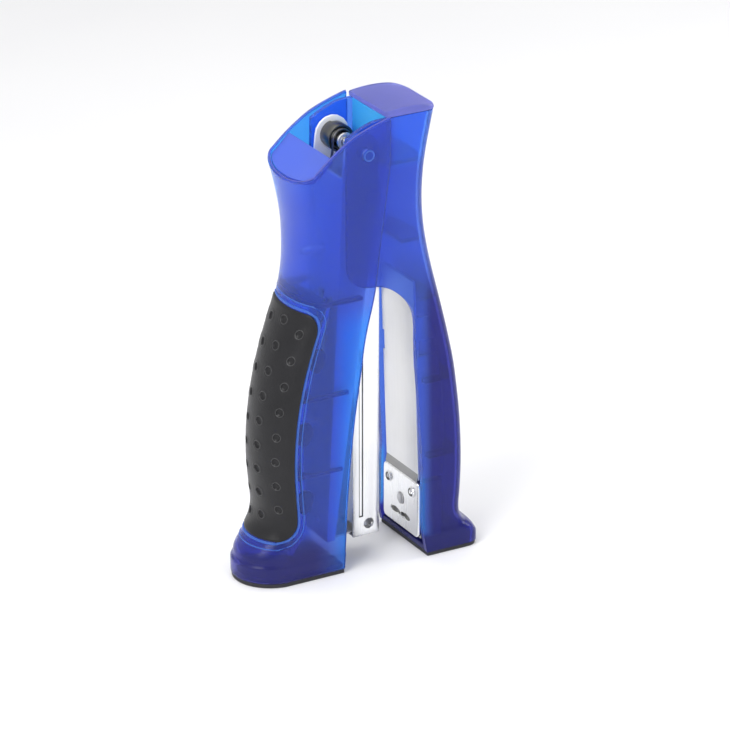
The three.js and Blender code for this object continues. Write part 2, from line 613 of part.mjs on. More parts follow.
// Follower: a saddle over the rail, a tongue through its slot and a block on the guide rod.
const FOLLOWER_Z = STRIP_Z1 + 0.1;
const followerBody = join(
  cut(
    box(0.15, 6.3, -6.2, 6.2, FOLLOWER_Z, FOLLOWER_Z + FOLLOWER_L),
    box(0.85, 8, -5.8, 5.8, 10, 120),
  ),
  box(0.15, 3, -1.3, 1.3, FOLLOWER_Z, FOLLOWER_Z + 8),
  box(2.4, 7.6, -4.2, 4.2, FOLLOWER_Z, FOLLOWER_Z + 8),
);
piece('follower', cut(followerBody, rodZ(ROD_X, 0, ROD_R + GAP, 10, 120)), RUBBER);

// Guide rod, its top bracket and the pusher spring wound round it.
const BRACKET_Z = 143.2;
piece('guide_rod', rodZ(ROD_X, 0, ROD_R, STRIP_Z0 + 1.25, BRACKET_Z + 2.4), STEEL);
const bracket = cut(
  box(1.2, MAG_X1 - SHEET - GAP, -6.2, 6.2, BRACKET_Z, BRACKET_Z + 1.2),
  rodZ(ROD_X, 0, ROD_R + 0.1, BRACKET_Z - 1, BRACKET_Z + 3),
);
piece('rod_bracket', bracket, STEEL);
const coil = [];
const coilTurns = 17;
const coilZ0 = FOLLOWER_Z + 8.5;
const coilZ1 = BRACKET_Z - 0.5;
for (let i = 0; i <= coilTurns * 8; i += 1) {
  const t = i / (coilTurns * 8);
  const angle = t * coilTurns * Math.PI * 2;
  coil.push([ROD_X + 2.1 * Math.cos(angle), 2.1 * Math.sin(angle), coilZ0 + t * (coilZ1 - coilZ0)]);
}
piece('pusher_spring', wire(coil, 0.35, coilTurns * 8, 4), STEEL);

export default assembly;
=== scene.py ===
import json
import math

import bmesh
import bpy
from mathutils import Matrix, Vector


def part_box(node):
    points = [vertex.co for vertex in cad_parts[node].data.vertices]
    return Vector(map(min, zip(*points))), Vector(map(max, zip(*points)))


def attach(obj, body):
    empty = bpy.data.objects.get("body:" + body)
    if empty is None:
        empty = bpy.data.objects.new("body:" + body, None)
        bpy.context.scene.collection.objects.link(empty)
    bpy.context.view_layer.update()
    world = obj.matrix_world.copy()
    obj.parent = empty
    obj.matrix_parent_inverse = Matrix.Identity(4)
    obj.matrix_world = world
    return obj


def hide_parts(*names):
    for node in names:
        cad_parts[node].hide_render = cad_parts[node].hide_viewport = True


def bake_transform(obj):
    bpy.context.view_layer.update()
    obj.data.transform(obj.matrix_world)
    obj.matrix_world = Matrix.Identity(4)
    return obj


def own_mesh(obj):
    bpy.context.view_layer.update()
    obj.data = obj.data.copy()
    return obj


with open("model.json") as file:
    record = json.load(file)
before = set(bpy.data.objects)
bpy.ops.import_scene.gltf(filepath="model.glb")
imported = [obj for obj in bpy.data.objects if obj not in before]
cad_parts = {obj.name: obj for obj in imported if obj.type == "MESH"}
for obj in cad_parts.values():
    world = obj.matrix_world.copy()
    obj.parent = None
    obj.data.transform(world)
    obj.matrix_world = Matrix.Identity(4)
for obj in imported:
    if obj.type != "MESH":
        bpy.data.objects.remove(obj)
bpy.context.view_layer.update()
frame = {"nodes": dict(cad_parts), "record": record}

# A stand-up stapler: a handle half at -X and a base half at +X, hinged at the top. Y runs across it.
# Sizes are in millimetres, and MM turns them into Blender's metres.
MM = 0.001

# ---------------------------------------------------------------- driving dimensions
FOOT_Z = 1.8  # both shells start here, on top of their foot pads
PAD_TOP = 1.74
WALL = 2.0
RIB_INSET = WALL + 0.03  # ribs stop this far inside the outer faces
FOOT_FLOOR = (FOOT_Z + 0.05, 3.8)  # underside and top of the floor in each foot
HANDLE_TOP, HANDLE_BEND = 181, 120  # above the bend the wall's rows of points lean to the scoop's rim
HEAD_TOP, HEAD_BEND = 179.6, 126  # the same for the base half and its head line
PIVOT = (-0.9, 167.9)
CREASE_ANGLE = math.radians(80)  # half of the arc that the handle's rounded wall spans
CORNER_POWER = 3.2  # how square the base half's rounded wall is
HANDLE_HALF_LOW, HANDLE_HALF_HIGH, HANDLE_WIDEST_Z = 14.8, 17.6, 165  # half width, growing upward
FOOT_FLARE = 0.3  # how much wider the handle's foot is
GRIP_BACKING = 1.7  # how much thicker the handle's wall is behind the grip

# Height, crease X and bulge depth of the handle's rounded outer wall.
HANDLE_OUTER = [
    (FOOT_Z, -35.4, 13.8), (7.6, -35.4, 13.8), (8.2, -35.4, 13.75), (8.6, -35.1, 13.2),
    (11.5, -34.8, 12.9), (14.5, -33.6, 12.0), (18, -32.0, 10.7), (21, -30.9, 9.7),
    (24, -30.4, 9.0), (28, -30.3, 8.5), (36, -30.9, 8.7), (46, -31.5, 8.9),
    (56, -31.4, 8.9), (66, -30.6, 8.7), (76, -29.1, 8.4), (86, -26.9, 8.0),
    (96, -24.0, 7.5), (105, -21.0, 7.1), (113, -18.8, 7.0), (121, -17.6, 6.9),
    (130, -17.3, 6.9), (139, -17.7, 6.9), (148, -19.2, 6.8), (156, -21.2, 6.5),
    (164, -23.5, 6.4), (184, -29.0, 6.4),
]
# Height, crease X, bulge depth and half width of the base shell.
BASE_OUTER = [
    (FOOT_Z, 42.0, 7.2, 18.2), (5.2, 42.0, 7.2, 18.2), (5.7, 41.9, 7.18, 18.18),
    (8.2, 40.2, 7.0, 18.0), (10.8, 36.9, 7.0, 17.4), (15, 35.0, 7.0, 16.9),
    (24, 35.4, 7.0, 16.8), (34, 35.9, 7.0, 16.6), (45, 35.8, 7.0, 16.4),
    (56, 35.2, 7.0, 16.2), (66, 34.2, 7.0, 15.9), (77, 32.8, 7.0, 15.5),
    (88, 30.6, 7.0, 15.1), (98, 28.3, 7.0, 14.7), (107, 26.1, 7.0, 14.3),
    (116, 23.7, 7.0, 14.3), (125, 21.6, 7.0, 14.3), (135, 19.9, 7.0, 14.3),
    (145, 19.2, 7.0, 14.3), (155, 19.6, 7.0, 14.3), (164, 20.8, 7.0, 14.3),
    (173, 22.6, 7.0, 14.3), (184, 24.9, 7.0, 14.3),
]
# Height and X of the two shells' open edges, which face each other.
HANDLE_EDGE = [
    (FOOT_Z, -9.8), (7, -9.5), (14, -9.2), (30, -8.5), (47, -7.3), (62.5, -5.8), (79, -3.6),
    (95, -1.5), (113, 2.4), (130, 4.4), (148, 6.6), (164, 8.3), (184, 8.4),
]
BASE_EDGE = [
    (FOOT_Z, 24.3), (5, 23.6), (8.5, 23.0), (24, 22.9), (36, 22.9), (46.5, 22.5), (57, 21.9),
    (67, 21.4), (77.5, 20.8), (87.5, 20.5), (94, 20.6), (98.9, 20.2), (101.8, 19.3),
    (104.6, 17.8), (107.8, 15.1), (110.4, 12.1), (112.5, 8.8), (113.7, 5.5), (114.4, 2.4),
    (114.8, -0.8), (116.6, -4.9), (120, -7.4), (125, -8.2), (150, -8.4), (184, -8.4),
]
# X and height of the top lines, as the side view shows them.
SCOOP_LINE = [
    (-60, 134.5), (-23.4, 163.5), (-18.3, 168.0), (-13, 172.0), (-7.6, 175.4), (-2.3, 177.7),
    (3.1, 179.5), (8.4, 181.0), (20, 184),
]
HEAD_LINE = [
    (-8.4, 174.2), (-4.6, 176.4), (-0.6, 178.1), (3.0, 179.2), (8.4, 179.5), (9, HEAD_TOP),
    (60, HEAD_TOP),
]
CAP_X, CAP_FLOOR = 8.5, 179.9  # where the lid starts, and its underside
CAP_LINE = [
    (CAP_X, 182.0), (12.7, 182.5), (17.5, 182.7), (22, 182.5), (26, 181.9), (29, 181.1),
    (32, 180.2),
]

# Grip: height range, the share of the rounded wall it covers, thickness, and how far its edge stands
# off the wall. A dimple is (share, height), with share as in handle_point.
GRIP_Z0, GRIP_Z1, GRIP_SPAN = 18.2, 108.4, 0.985
GRIP_THICK, GRIP_LIFT = 0.68, 0.02
DIMPLES = [(-0.13, 26.6 + 9.65 * i) for i in range(9)]
DIMPLES += [(0.29, 24.8 + 9.65 * i) for i in range(9)]
DIMPLES += [(share, 31.0 + 9.95 * i) for i in range(8) for share in (-0.56, 0.66)]

# Anvil plate: face and thickness, outline, and the places of its stops, recess and rivet.
PLATE_X, PLATE_THICK = 22.9, 1.4
ANVIL_Z0, ANVIL_Z1, ANVIL_HALF, ANVIL_CORNER = 5.8, 28.8, 13.4, 2.5
STOP_Y, STOP_Z = 8.6, 23.8
CLINCH_Z, CLINCH_DEPTH = 11.4, 0.75
RIVET_Z = 17.8

# Staple stick: count, height range and gap, then a staple's outline and its wire.
STAPLES, STICK_Z0, STICK_Z1, STAPLE_GAP = 96, 13.25, 65.95, 0.03
STAPLE_X0, STAPLE_X1, STAPLE_HALF, WIRE_WIDE, WIRE_THICK = 0.15, 6.3, 6.3, 0.55, 0.6


def column(table, index, z):
    """Smooth value of one column of a table at z."""
    if z <= table[0][0]:
        return table[0][index]
    last = len(table) - 1
    if z >= table[last][0]:
        return table[last][index]
    i = 0
    while z > table[i + 1][0]:
        i += 1

    def slope(k):
        a, b = max(0, k - 1), min(last, k + 1)
        return (table[b][index] - table[a][index]) / (table[b][0] - table[a][0])

    h = table[i + 1][0] - table[i][0]
    t = (z - table[i][0]) / h
    p0, p1 = table[i][index], table[i + 1][index]
    m0, m1 = slope(i) * h, slope(i + 1) * h
    return ((2 * t ** 3 - 3 * t ** 2 + 1) * p0 + (t ** 3 - 2 * t ** 2 + t) * m0
            + (3 * t ** 2 - 2 * t ** 3) * p1 + (t ** 3 - t ** 2) * m1)


def smooth(a, b, x):
    """0 below a, 1 above b, and an S-shaped rise between."""
    t = max(0.0, min(1.0, (x - a) / (b - a)))
    return t * t * (3 - 2 * t)


def lerp(a, b, t):
    return a + (b - a) * t


# ---------------------------------------------------------------- shader helpers
def material(name):
    m = bpy.data.materials.new(name)
    m.use_nodes = True
    nt = m.node_tree
    return m, nt, nt.nodes["Principled BSDF"]


def add(nt, kind, **values):
    """New shader node; each value goes to the input of that name, or else to the property."""
    n = nt.nodes.new(kind)
    for key, value in values.items():
        if key in n.inputs:
            n.inputs[key].default_value = value
        else:
            setattr(n, key, value)
    return n


def noise(nt, scale, detail, rough, stretch=None):
    coord = add(nt, "ShaderNodeTexCoord")
    n = add(nt, "ShaderNodeTexNoise", Scale=scale, Detail=detail, Roughness=rough)
    place = coord.outputs["Object"]
    if stretch:
        mapping = add(nt, "ShaderNodeMapping", Scale=stretch)
        nt.links.new(place, mapping.inputs["Vector"])
        place = mapping.outputs["Vector"]
    nt.links.new(place, n.inputs["Vector"])
    return n.outputs["Fac"]


def ramp(nt, source, low, low_colour, high, high_colour):
    """Colour that runs from one to the other as the source goes from low to high."""
    r = add(nt, "ShaderNodeValToRGB")
    nt.links.new(source, r.inputs["Fac"])
    stops = ((low, low_colour), (high, high_colour))
    for element, (position, colour) in zip(r.color_ramp.elements, stops):
        element.position = position
        element.color = (*colour, 1.0)
    return r.outputs["Color"]


def spread(nt, source, low, high):
    r = add(nt, "ShaderNodeMapRange")
    nt.links.new(source, r.inputs["Value"])
    r.inputs["To Min"].default_value = low
    r.inputs["To Max"].default_value = high
    return r.outputs["Result"]


def bump(nt, bsdf, source, strength, distance):
    b = add(nt, "ShaderNodeBump", Strength=strength, Distance=distance)
    nt.links.new(source, b.inputs["Height"])
    nt.links.new(b.outputs["Normal"], bsdf.inputs["Normal"])


def fade(nt, axis, low, high, falling=False):
    """Factor that runs smoothly from 0 to 1, or back, between two coordinates in millimetres."""
    coord = add(nt, "ShaderNodeTexCoord")
    split = add(nt, "ShaderNodeSeparateXYZ")
    nt.links.new(coord.outputs["Object"], split.inputs[0])
    r = add(nt, "ShaderNodeMapRange", interpolation_type="SMOOTHSTEP")
    nt.links.new(split.outputs[axis], r.inputs["Value"])
    r.inputs["From Min"].default_value = low * MM
    r.inputs["From Max"].default_value = high * MM
    r.inputs["To Min"].default_value = 1.0 if falling else 0.0
    r.inputs["To Max"].default_value = 0.0 if falling else 1.0
    return r.outputs["Result"]


def both(nt, first, second):
    m = add(nt, "ShaderNodeMath", operation="MULTIPLY")
    nt.links.new(first, m.inputs[0])
    nt.links.new(second, m.inputs[1])
    return m.outputs["Value"]


def tinted(nt, factor, under, colour):
    m = add(nt, "ShaderNodeMixRGB")
    nt.links.new(factor, m.inputs["Fac"])
    nt.links.new(under, m.inputs["Color1"])
    m.inputs["Color2"].default_value = (*colour, 1.0)
    return m.outputs["Color"]


# ---------------------------------------------------------------- materials
def blue_plastic(name, light, dark, rough=(0.2, 0.28), ior=1.3, sheen=0.08, clear=0.88, painted_light_zones=()):
    """Tinted translucent plastic: a faint flow pattern, a softly frosted inside, and zones of painted light
    and shade, brighter where light is painted glowing through and darker where shade is painted. A zone is
    its tint and the edges over which it fades in, each as (axis, from, to), or out, with FALLING added."""
    m, nt, bsdf = material(name)
    flow = noise(nt, 26, 2.0, 0.45, (1.0, 1.0, 0.35))
    colour = ramp(nt, flow, 0.3, dark, 0.7, light)
    for tint, *edges in painted_light_zones:
        factor = fade(nt, *edges[0])
        for edge in edges[1:]:
            factor = both(nt, factor, fade(nt, *edge))
        colour = tinted(nt, factor, colour, tint)
    nt.links.new(colour, bsdf.inputs["Base Color"])
    grain = noise(nt, 900, 3.0, 0.6)
    nt.links.new(spread(nt, grain, *rough), bsdf.inputs["Roughness"])
    bsdf.inputs["IOR"].default_value = ior
    bsdf.inputs["Transmission Weight"].default_value = clear
    bsdf.inputs["Sheen Weight"].default_value = sheen
    bsdf.inputs["Sheen Roughness"].default_value = 0.45
    bsdf.inputs["Sheen Tint"].default_value = (0.35, 0.35, 1.0, 1.0)
    bsdf.inputs["Coat Weight"].default_value = 0.06
    bsdf.inputs["Coat Roughness"].default_value = 0.25
    bump(nt, bsdf, grain, 0.06, 0.0002)
    return m


def rubber(name, dark, light, rough, grain_scale, grain, gloss=0.5):
    """Matt black with slight clouding and a fine grain."""
    m, nt, bsdf = material(name)
    cloud = noise(nt, 60, 4.0, 0.6)
    nt.links.new(ramp(nt, cloud, 0.3, dark, 0.75, light), bsdf.inputs["Base Color"])
    fine = noise(nt, grain_scale, 4.0, 0.65)
    nt.links.new(spread(nt, fine, rough - 0.08, rough + 0.1), bsdf.inputs["Roughness"])
    bsdf.inputs["Specular IOR Level"].default_value = gloss
    bump(nt, bsdf, fine, grain, 0.0003)
    return m


def steel(name, dark, light, rough, stretch, metallic=1.0, scratch=0.12):
    """Metal with a drawn or brushed grain along one direction and slight clouding."""
    m, nt, bsdf = material(name)
    bsdf.inputs["Metallic"].default_value = metallic
    lines = noise(nt, 420, 3.0, 0.6, stretch)
    cloud = noise(nt, 35, 3.0, 0.5)
    mixed = add(nt, "ShaderNodeMath", operation="MULTIPLY_ADD")
    nt.links.new(lines, mixed.inputs[0])
    mixed.inputs[1].default_value = 0.5
    nt.links.new(cloud, mixed.inputs[2])
    nt.links.new(ramp(nt, mixed.outputs["Value"], 0.45, dark, 1.0, light), bsdf.inputs["Base Color"])
    nt.links.new(spread(nt, lines, rough - 0.06, rough + 0.1), bsdf.inputs["Roughness"])
    bump(nt, bsdf, lines, scratch, 0.0001)
    return m


FALLING = True
LIGHT_BLUE, DEEP_BLUE = (0.12, 0.25, 0.86), (0.095, 0.2, 0.8)
# Painted shade: the two indigo tints darken the plastic where shade falls inside the shells.
SHADE_INDIGO, FOOT_SHADE_INDIGO = (0.045, 0.05, 0.42), (0.08, 0.085, 0.5)
# Painted light: the two cyans and the two brighter blues stand for light glowing through the walls.
GLOW_CYAN, RIM_GLOW_CYAN = (0.07, 0.4, 1.0), (0.045, 0.28, 0.93)
HEAD_GLOW_BLUE, BACK_GLOW_BLUE = (0.1, 0.3, 1.0), (0.11, 0.3, 1.0)

BLUE = blue_plastic("blue_shell", LIGHT_BLUE, DEEP_BLUE)
# Handle zones: painted shade low on the foot, away from the open edge; painted light glowing through the
# back wall high up and along the open edge lower down.
HANDLE_BLUE = blue_plastic("blue_handle", LIGHT_BLUE, DEEP_BLUE, clear=0.86, painted_light_zones=[
    (FOOT_SHADE_INDIGO, ("Z", 9, 26, FALLING), ("X", -24, -12, FALLING)),
    (GLOW_CYAN, ("Y", 4, 12), ("Z", 140, 152)),
    (RIM_GLOW_CYAN, ("X", -17, -8), ("Z", 98, 112, FALLING)),
])
# Base zones: painted shade over the body below the head and along the bottom; painted light glowing through
# the head, its back wall and the lower open edge.
BASE_BLUE = blue_plastic("blue_base", LIGHT_BLUE, DEEP_BLUE, clear=0.8, painted_light_zones=[
    (SHADE_INDIGO, ("Z", 100, 126, FALLING), ("X", 24, 28)),
    (HEAD_GLOW_BLUE, ("Z", 158, 163), ("X", 9.5, 13)),
    (BACK_GLOW_BLUE, ("Z", 150, 162), ("Y", 4, 12)),
    (GLOW_CYAN, ("Z", 30, 36, FALLING), ("Z", 9, 12), ("X", 23.4, 24.8, FALLING)),
    (SHADE_INDIGO, ("Z", 7.5, 10, FALLING)),
])
# Pale cyan web: painted light, as if lit through from behind.
GLOWING_WEB_BLUE = blue_plastic("blue_web_glow", (0.07, 0.6, 1.0), (0.06, 0.52, 1.0), (0.3, 0.4), sheen=0.2, clear=0.35)
# Paler blue for the scoop's floor: painted light on an up-facing surface.
LIT_FLOOR_BLUE = blue_plastic("blue_floor_lit", (0.15, 0.25, 0.88), (0.12, 0.22, 0.84), (0.28, 0.36),
                          ior=1.35, sheen=0.3, clear=0.6)
BUTTON_BLUE = blue_plastic("blue_button", (0.1, 0.28, 0.88), (0.08, 0.24, 0.82), (0.3, 0.4),
                           sheen=0.2, clear=0.6)
RIB_BLUE = blue_plastic("blue_rib", (0.06, 0.07, 0.5), (0.05, 0.06, 0.44), (0.25, 0.35),
                        sheen=0.05, clear=0.7)
DARK_BLUE = blue_plastic("blue_clip", (0.03, 0.03, 0.26), (0.02, 0.02, 0.2), (0.4, 0.5),
                         sheen=0.1, clear=0.4)
# Pale lavender copy of the plastic for the lid and the rim bead: a frosted top whose paleness is painted
# light from above.
LIT_CAP_BLUE = blue_plastic("blue_cap_lit", (0.42, 0.46, 1.0), (0.37, 0.41, 0.98), (0.3, 0.42), ior=1.35, sheen=0.6)

GRIP = rubber("grip_rubber", (0.007, 0.007, 0.0085), (0.012, 0.0118, 0.014), 0.36, 1400, 0.3, gloss=0.3)
# Lighter rubber for the dimples' lips: a painted highlight.
LIP_HIGHLIGHT = rubber("lip_rubber_highlight", (0.02, 0.02, 0.022), (0.03, 0.03, 0.033), 0.3, 1400, 0.15, gloss=0.6)
PAD = rubber("pad_rubber", (0.012, 0.012, 0.016), (0.022, 0.022, 0.027), 0.6, 900, 0.5)

# How much the grain is stretched: a small value makes long lines along that axis.
ALONG_Z, ALONG_XZ, ALONG_Y, LIGHT_Y, ALONG_X, EVEN = (
    (1, 1, 0.04), (0.05, 1, 0.05), (1, 0.06, 1), (1, 0.1, 1), (0.06, 1, 1), (1, 1, 1))
BRIGHT = steel("bright_steel", (0.76, 0.77, 0.78), (0.89, 0.89, 0.9), 0.26, ALONG_Z)
# Near-white, barely metallic steel: partly bright steel, partly a painted reflection of the white
# surroundings.
WHITE_REFLECTION = steel("white_painted_reflection", (0.92, 0.93, 0.9), (0.98, 0.98, 0.96), 0.4, ALONG_Z,
              metallic=0.1, scratch=0.05)
SATIN = steel("satin_steel", (0.74, 0.74, 0.74), (0.84, 0.84, 0.84), 0.42, ALONG_XZ, metallic=0.85)
GREY = steel("grey_steel", (0.4, 0.4, 0.42), (0.56, 0.56, 0.58), 0.36, ALONG_Y)
SPRING = steel("spring_steel", (0.1, 0.1, 0.1), (0.2, 0.2, 0.2), 0.32, EVEN, scratch=0.05)
# Darker steel for the plate's bend: painted shade.
BEND_SHADE = steel("bend_steel_shade", (0.22, 0.22, 0.22), (0.4, 0.4, 0.4), 0.4, ALONG_Y)
STAPLE = steel("staple_wire", (0.66, 0.67, 0.68), (0.8, 0.8, 0.81), 0.3, LIGHT_Y)
# Dark steel of the spring drum, also used for painted shade in the anvil's hollows and along the magazine's
# groove.
DRUM_STEEL_AND_SHADE = steel("drum_steel", (0.1, 0.1, 0.095), (0.2, 0.2, 0.19), 0.3, ALONG_X, scratch=0.06)
BLACK = rubber("black_plastic", (0.02, 0.02, 0.022), (0.035, 0.035, 0.038), 0.45, 700, 0.2)

FINISH = {
    "blue_shell": BLUE, "grip_rubber": GRIP, "pad_rubber": PAD, "bright_steel": BRIGHT,
    "satin_steel": SATIN, "grey_steel": GREY, "spring_steel": SPRING, "drum_steel": DRUM_STEEL_AND_SHADE,
    "staple_wire": STAPLE, "black_plastic": BLACK,
}


# ---------------------------------------------------------------- CAD nodes
def paint_nodes():
    """Every CAD node gets its slot's finish, except the driver frame, in near-white, barely metallic steel:
    partly its own bright steel, partly a painted reflection of the white surroundings.
    """
    slots = {row["node"]: row["material_slot"] for row in frame["record"]["subparts"]}
    for node, obj in frame["nodes"].items():
        obj.data.materials.clear()
        obj.data.materials.append(WHITE_REFLECTION if node == "driver_frame" else FINISH[slots[node]])


def rounded(obj, width, angle, segments=3):
    edge = obj.modifiers.new("edge", "BEVEL")
    edge.width = width * MM
    edge.segments = segments
    edge.limit_method = "ANGLE"
    edge.angle_limit = math.radians(angle)
    edge.harden_normals = True


def shade_smooth(mesh):
    mesh.polygons.foreach_set("use_smooth", [True] * len(mesh.polygons))


def soften(node, width, angle=35):
    """Rounds the edges of a faceted CAD node by modifiers alone."""
    obj = frame["nodes"][node]
    weld = obj.modifiers.new("weld", "WELD")
    weld.merge_threshold = 1e-6
    flat = obj.modifiers.new("flat", "DECIMATE")
    flat.decimate_type = "DISSOLVE"
    flat.angle_limit = math.radians(1.0)
    rounded(obj, width, angle)
    split = obj.modifiers.new("split", "TRIANGULATE")
    split.keep_custom_normals = True
    shade_smooth(obj.data)


EDGE_WIDTHS = {
    "driver_frame": 0.2, "driver_blade": 0.1, "blade_rivet_front": 0.15, "blade_rivet_back": 0.15,
    "frame_screw_lower": 0.15, "frame_screw_upper": 0.15, "pin_collar": 0.15, "spring_drum": 0.3,
    "magazine_pin": 0.2, "staple_rail": 0.12, "nose_plate": 0.12, "follower": 0.25,
    "guide_rod": 0.15, "rod_bracket": 0.15, "anvil_support": 0.3, "base_plate": 0.15,
    "hinge_pin": 0.15, "magazine_channel": 0.3,
}
paint_nodes()
for node, width in EDGE_WIDTHS.items():
    soften(node, width)


# ---------------------------------------------------------------- mesh helpers
def tube_faces(rings, sides):
    """Four-sided faces between rings of points that follow each other."""
    faces = []
    for i in range(rings - 1):
        for k in range(sides):
            a, b = i * sides + k, i * sides + (k + 1) % sides
            faces.append((a, b, b + sides, a + sides))
    return faces


class Soup:
    """Collects closed bodies, in millimetres, in one mesh. Each method adds one and returns self."""

    def __init__(self):
        self.verts = []
        self.faces = []

    def put(self, verts, faces):
        base = len(self.verts)
        self.verts += verts
        self.faces += [tuple(base + i for i in f) for f in faces]
        return self

    def extruded(self, start, end):
        """Two copies of an outline joined by their sides."""
        n = len(start)
        faces = [tuple(range(n)), tuple(range(2 * n - 1, n - 1, -1))]
        faces += [(i, (i + 1) % n, n + (i + 1) % n, n + i) for i in range(n)]
        return self.put(start + end, faces)

    def prism(self, outline, y0, y1):
        """A side-view outline of (x, z) points given a width."""
        return self.extruded([(x, y0, z) for x, z in outline], [(x, y1, z) for x, z in outline])

    def slab(self, outline, z0, z1):
        """A plan outline of (x, y) points given a height."""
        return self.extruded([(x, y, z0) for x, y in outline], [(x, y, z1) for x, y in outline])

    def box(self, x0, x1, y0, y1, z0, z1):
        return self.slab([(x0, y0), (x1, y0), (x1, y1), (x0, y1)], z0, z1)

    def sheet(self, rows):
        """Rows of (upper, lower) pairs of points, closed round their edges."""
        n_rows, n_cols = len(rows), len(rows[0])
        verts = [upper for row in rows for upper, _ in row] + [lower for row in rows for _, lower in row]
        off = n_rows * n_cols
        faces = []
        for r in range(n_rows - 1):
            for c in range(n_cols - 1):
                a = r * n_cols + c
                faces.append((a, a + 1, a + n_cols + 1, a + n_cols))
                faces.append((off + a, off + a + n_cols, off + a + n_cols + 1, off + a + 1))
        ring = list(range(n_cols))
        ring += [r * n_cols + n_cols - 1 for r in range(1, n_rows)]
        ring += [(n_rows - 1) * n_cols + c for c in range(n_cols - 2, -1, -1)]
        ring += [r * n_cols for r in range(n_rows - 2, 0, -1)]
        for i, a in enumerate(ring):
            b = ring[(i + 1) % len(ring)]
            faces.append((a, b, off + b, off + a))
        return self.put(verts, faces)

    def wire(self, path, radius, sides=8):
        """Round wire along a path of points, capped at both ends."""
        pts = [Vector(p) for p in path]
        n = len(pts)
        verts = []
        normal = None
        for i, p in enumerate(pts):
            along = (pts[min(i + 1, n - 1)] - pts[max(i - 1, 0)]).normalized()
            if normal is None:
                normal = along.orthogonal().normalized()
            else:
                normal = (normal - along * normal.dot(along)).normalized()
            side = along.cross(normal)
            for k in range(sides):
                a = 2 * math.pi * k / sides
                q = p + normal * (math.cos(a) * radius) + side * (math.sin(a) * radius)
                verts.append(tuple(q))
        faces = tube_faces(n, sides)
        faces.append(tuple(range(sides - 1, -1, -1)))
        faces.append(tuple((n - 1) * sides + k for k in range(sides)))
        return self.put(verts, faces)

    def turned(self, profile, centre, axis, sides):
        """A body turned about X or Y from (radius, distance) points, both ends on the axis."""
        x, y, z = centre
        verts = []
        for radius, distance in profile:
            for k in range(sides):
                a = 2 * math.pi * k / sides
                u, w = radius * math.cos(a), radius * math.sin(a)
                verts.append((x + distance, y + u, z + w) if axis == "X" else (x + u, y + distance, z + w))
        return self.put(verts, tube_faces(len(profile), sides))


def piece(name, soup, mat, body, replaces=(), bevel=0.0, angle=40):
    """Makes a visual piece of a soup. It rides on a body, or on none."""
    me = bpy.data.meshes.new(name)
    me.from_pydata([(x * MM, y * MM, z * MM) for x, y, z in soup.verts], [], soup.faces)
    me.validate()
    bm = bmesh.new()
    bm.from_mesh(me)
    bmesh.ops.remove_doubles(bm, verts=bm.verts, dist=1e-6)
    bmesh.ops.recalc_face_normals(bm, faces=bm.faces)
    bm.to_mesh(me)
    bm.free()
    shade_smooth(me)
    me.materials.append(mat)
    obj = bpy.data.objects.new(name, me)
    bpy.context.scene.collection.objects.link(obj)
    if bevel:
        rounded(obj, bevel, angle)
    if body:
        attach(obj, body)
    if replaces:
        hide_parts(*replaces)
    return obj


# ---------------------------------------------------------------- shell walls
# A column of a shell is ("flat", share, side) on a side wall, where share runs from 0 at the crease
# to 1 at the open edge, or ("round", share, 0) on the rounded wall, where it runs from -1 to 1.
def columns(n_flat, n_round):
    cols = [("flat", 1 - i / n_flat, -1) for i in range(n_flat)]
    cols += [("round", -1 + 2 * i / n_round, 0) for i in range(n_round + 1)]
    cols += [("flat", (i + 1) / n_flat, 1) for i in range(n_flat)]
    return cols


def levels(*spans):
    """Heights through spans of (from, to, step)."""
    zs = [spans[0][0]]
    for z0, z1, step in spans:
        n = max(1, round((z1 - z0) / step))
        zs += [z0 + (z1 - z0) * (i + 1) / n for i in range(n)]
    return zs


def top_at(top_line, where, col, z):
    """Height at which a column meets a top line: its X and its height settle together."""
    for _ in range(12):
        z = column(top_line, 1, where(col, z, 0)[0])
    return z


def shell(cols, zs, where, top_line, bend, top):
    """Outer and inner points of a shell whose top edge follows a line over X."""
    tops = [top_at(top_line, where, col, top) for col in cols]
    rows = []
    for level in zs:
        row = []
        for col, col_top in zip(cols, tops):
            z = level if level <= bend else bend + (level - bend) * (col_top - bend) / (top - bend)
            row.append((where(col, z, 0.0), where(col, z, WALL)))
        rows.append(row)
    return rows


def bulge(angle):
    """Share of the bulge's depth at an angle round the handle's wall: 1 in the middle, 0 at a crease."""
    return (math.cos(angle) - math.cos(CREASE_ANGLE)) / (1 - math.cos(CREASE_ANGLE))


def sideways(angle):
    """Share of the half width at that angle."""
    return math.sin(angle) / math.sin(CREASE_ANGLE)


# ---------------------------------------------------------------- handle shell
def handle_at(z):
    """Crease X, bulge depth and half width of the handle at a height."""
    width = lerp(HANDLE_HALF_LOW, HANDLE_HALF_HIGH, min(1, z / HANDLE_WIDEST_Z))
    width += FOOT_FLARE * (1 - smooth(8.0, 8.8, z))
    return column(HANDLE_OUTER, 1, z), column(HANDLE_OUTER, 2, z), width


def handle_point(share, z, off=0.0):
    """Point of the rounded outer wall: share runs from -1 at the front crease to 1 at the back one."""
    crease, depth, width = handle_at(z)
    a = share * CREASE_ANGLE
    reach = width + off * 0.4 + off * 0.6 * abs(math.sin(a))
    return (crease - (depth + off) * bulge(a), reach * sideways(a), z)


def handle_col(col, z, inset):
    """Point of a handle column, on the outer face or that far inside it, backing included."""
    crease, depth, width = handle_at(z)
    kind, share, side = col
    backing = GRIP_BACKING * smooth(11, 15, z) * (1 - smooth(111, 116, z)) if inset else 0.0
    if kind == "flat":
        x = lerp(crease, column(HANDLE_EDGE, 1, z), share)
        thick = inset + backing * (1 - smooth(2.6, 3.6, x - crease))
        return (x, side * (width - thick), z)
    thick = inset + backing
    a = share * CREASE_ANGLE
    return (crease - (depth - thick) * bulge(a), (width - thick) * sideways(a), z)


HANDLE_COLS = columns(34, 56)


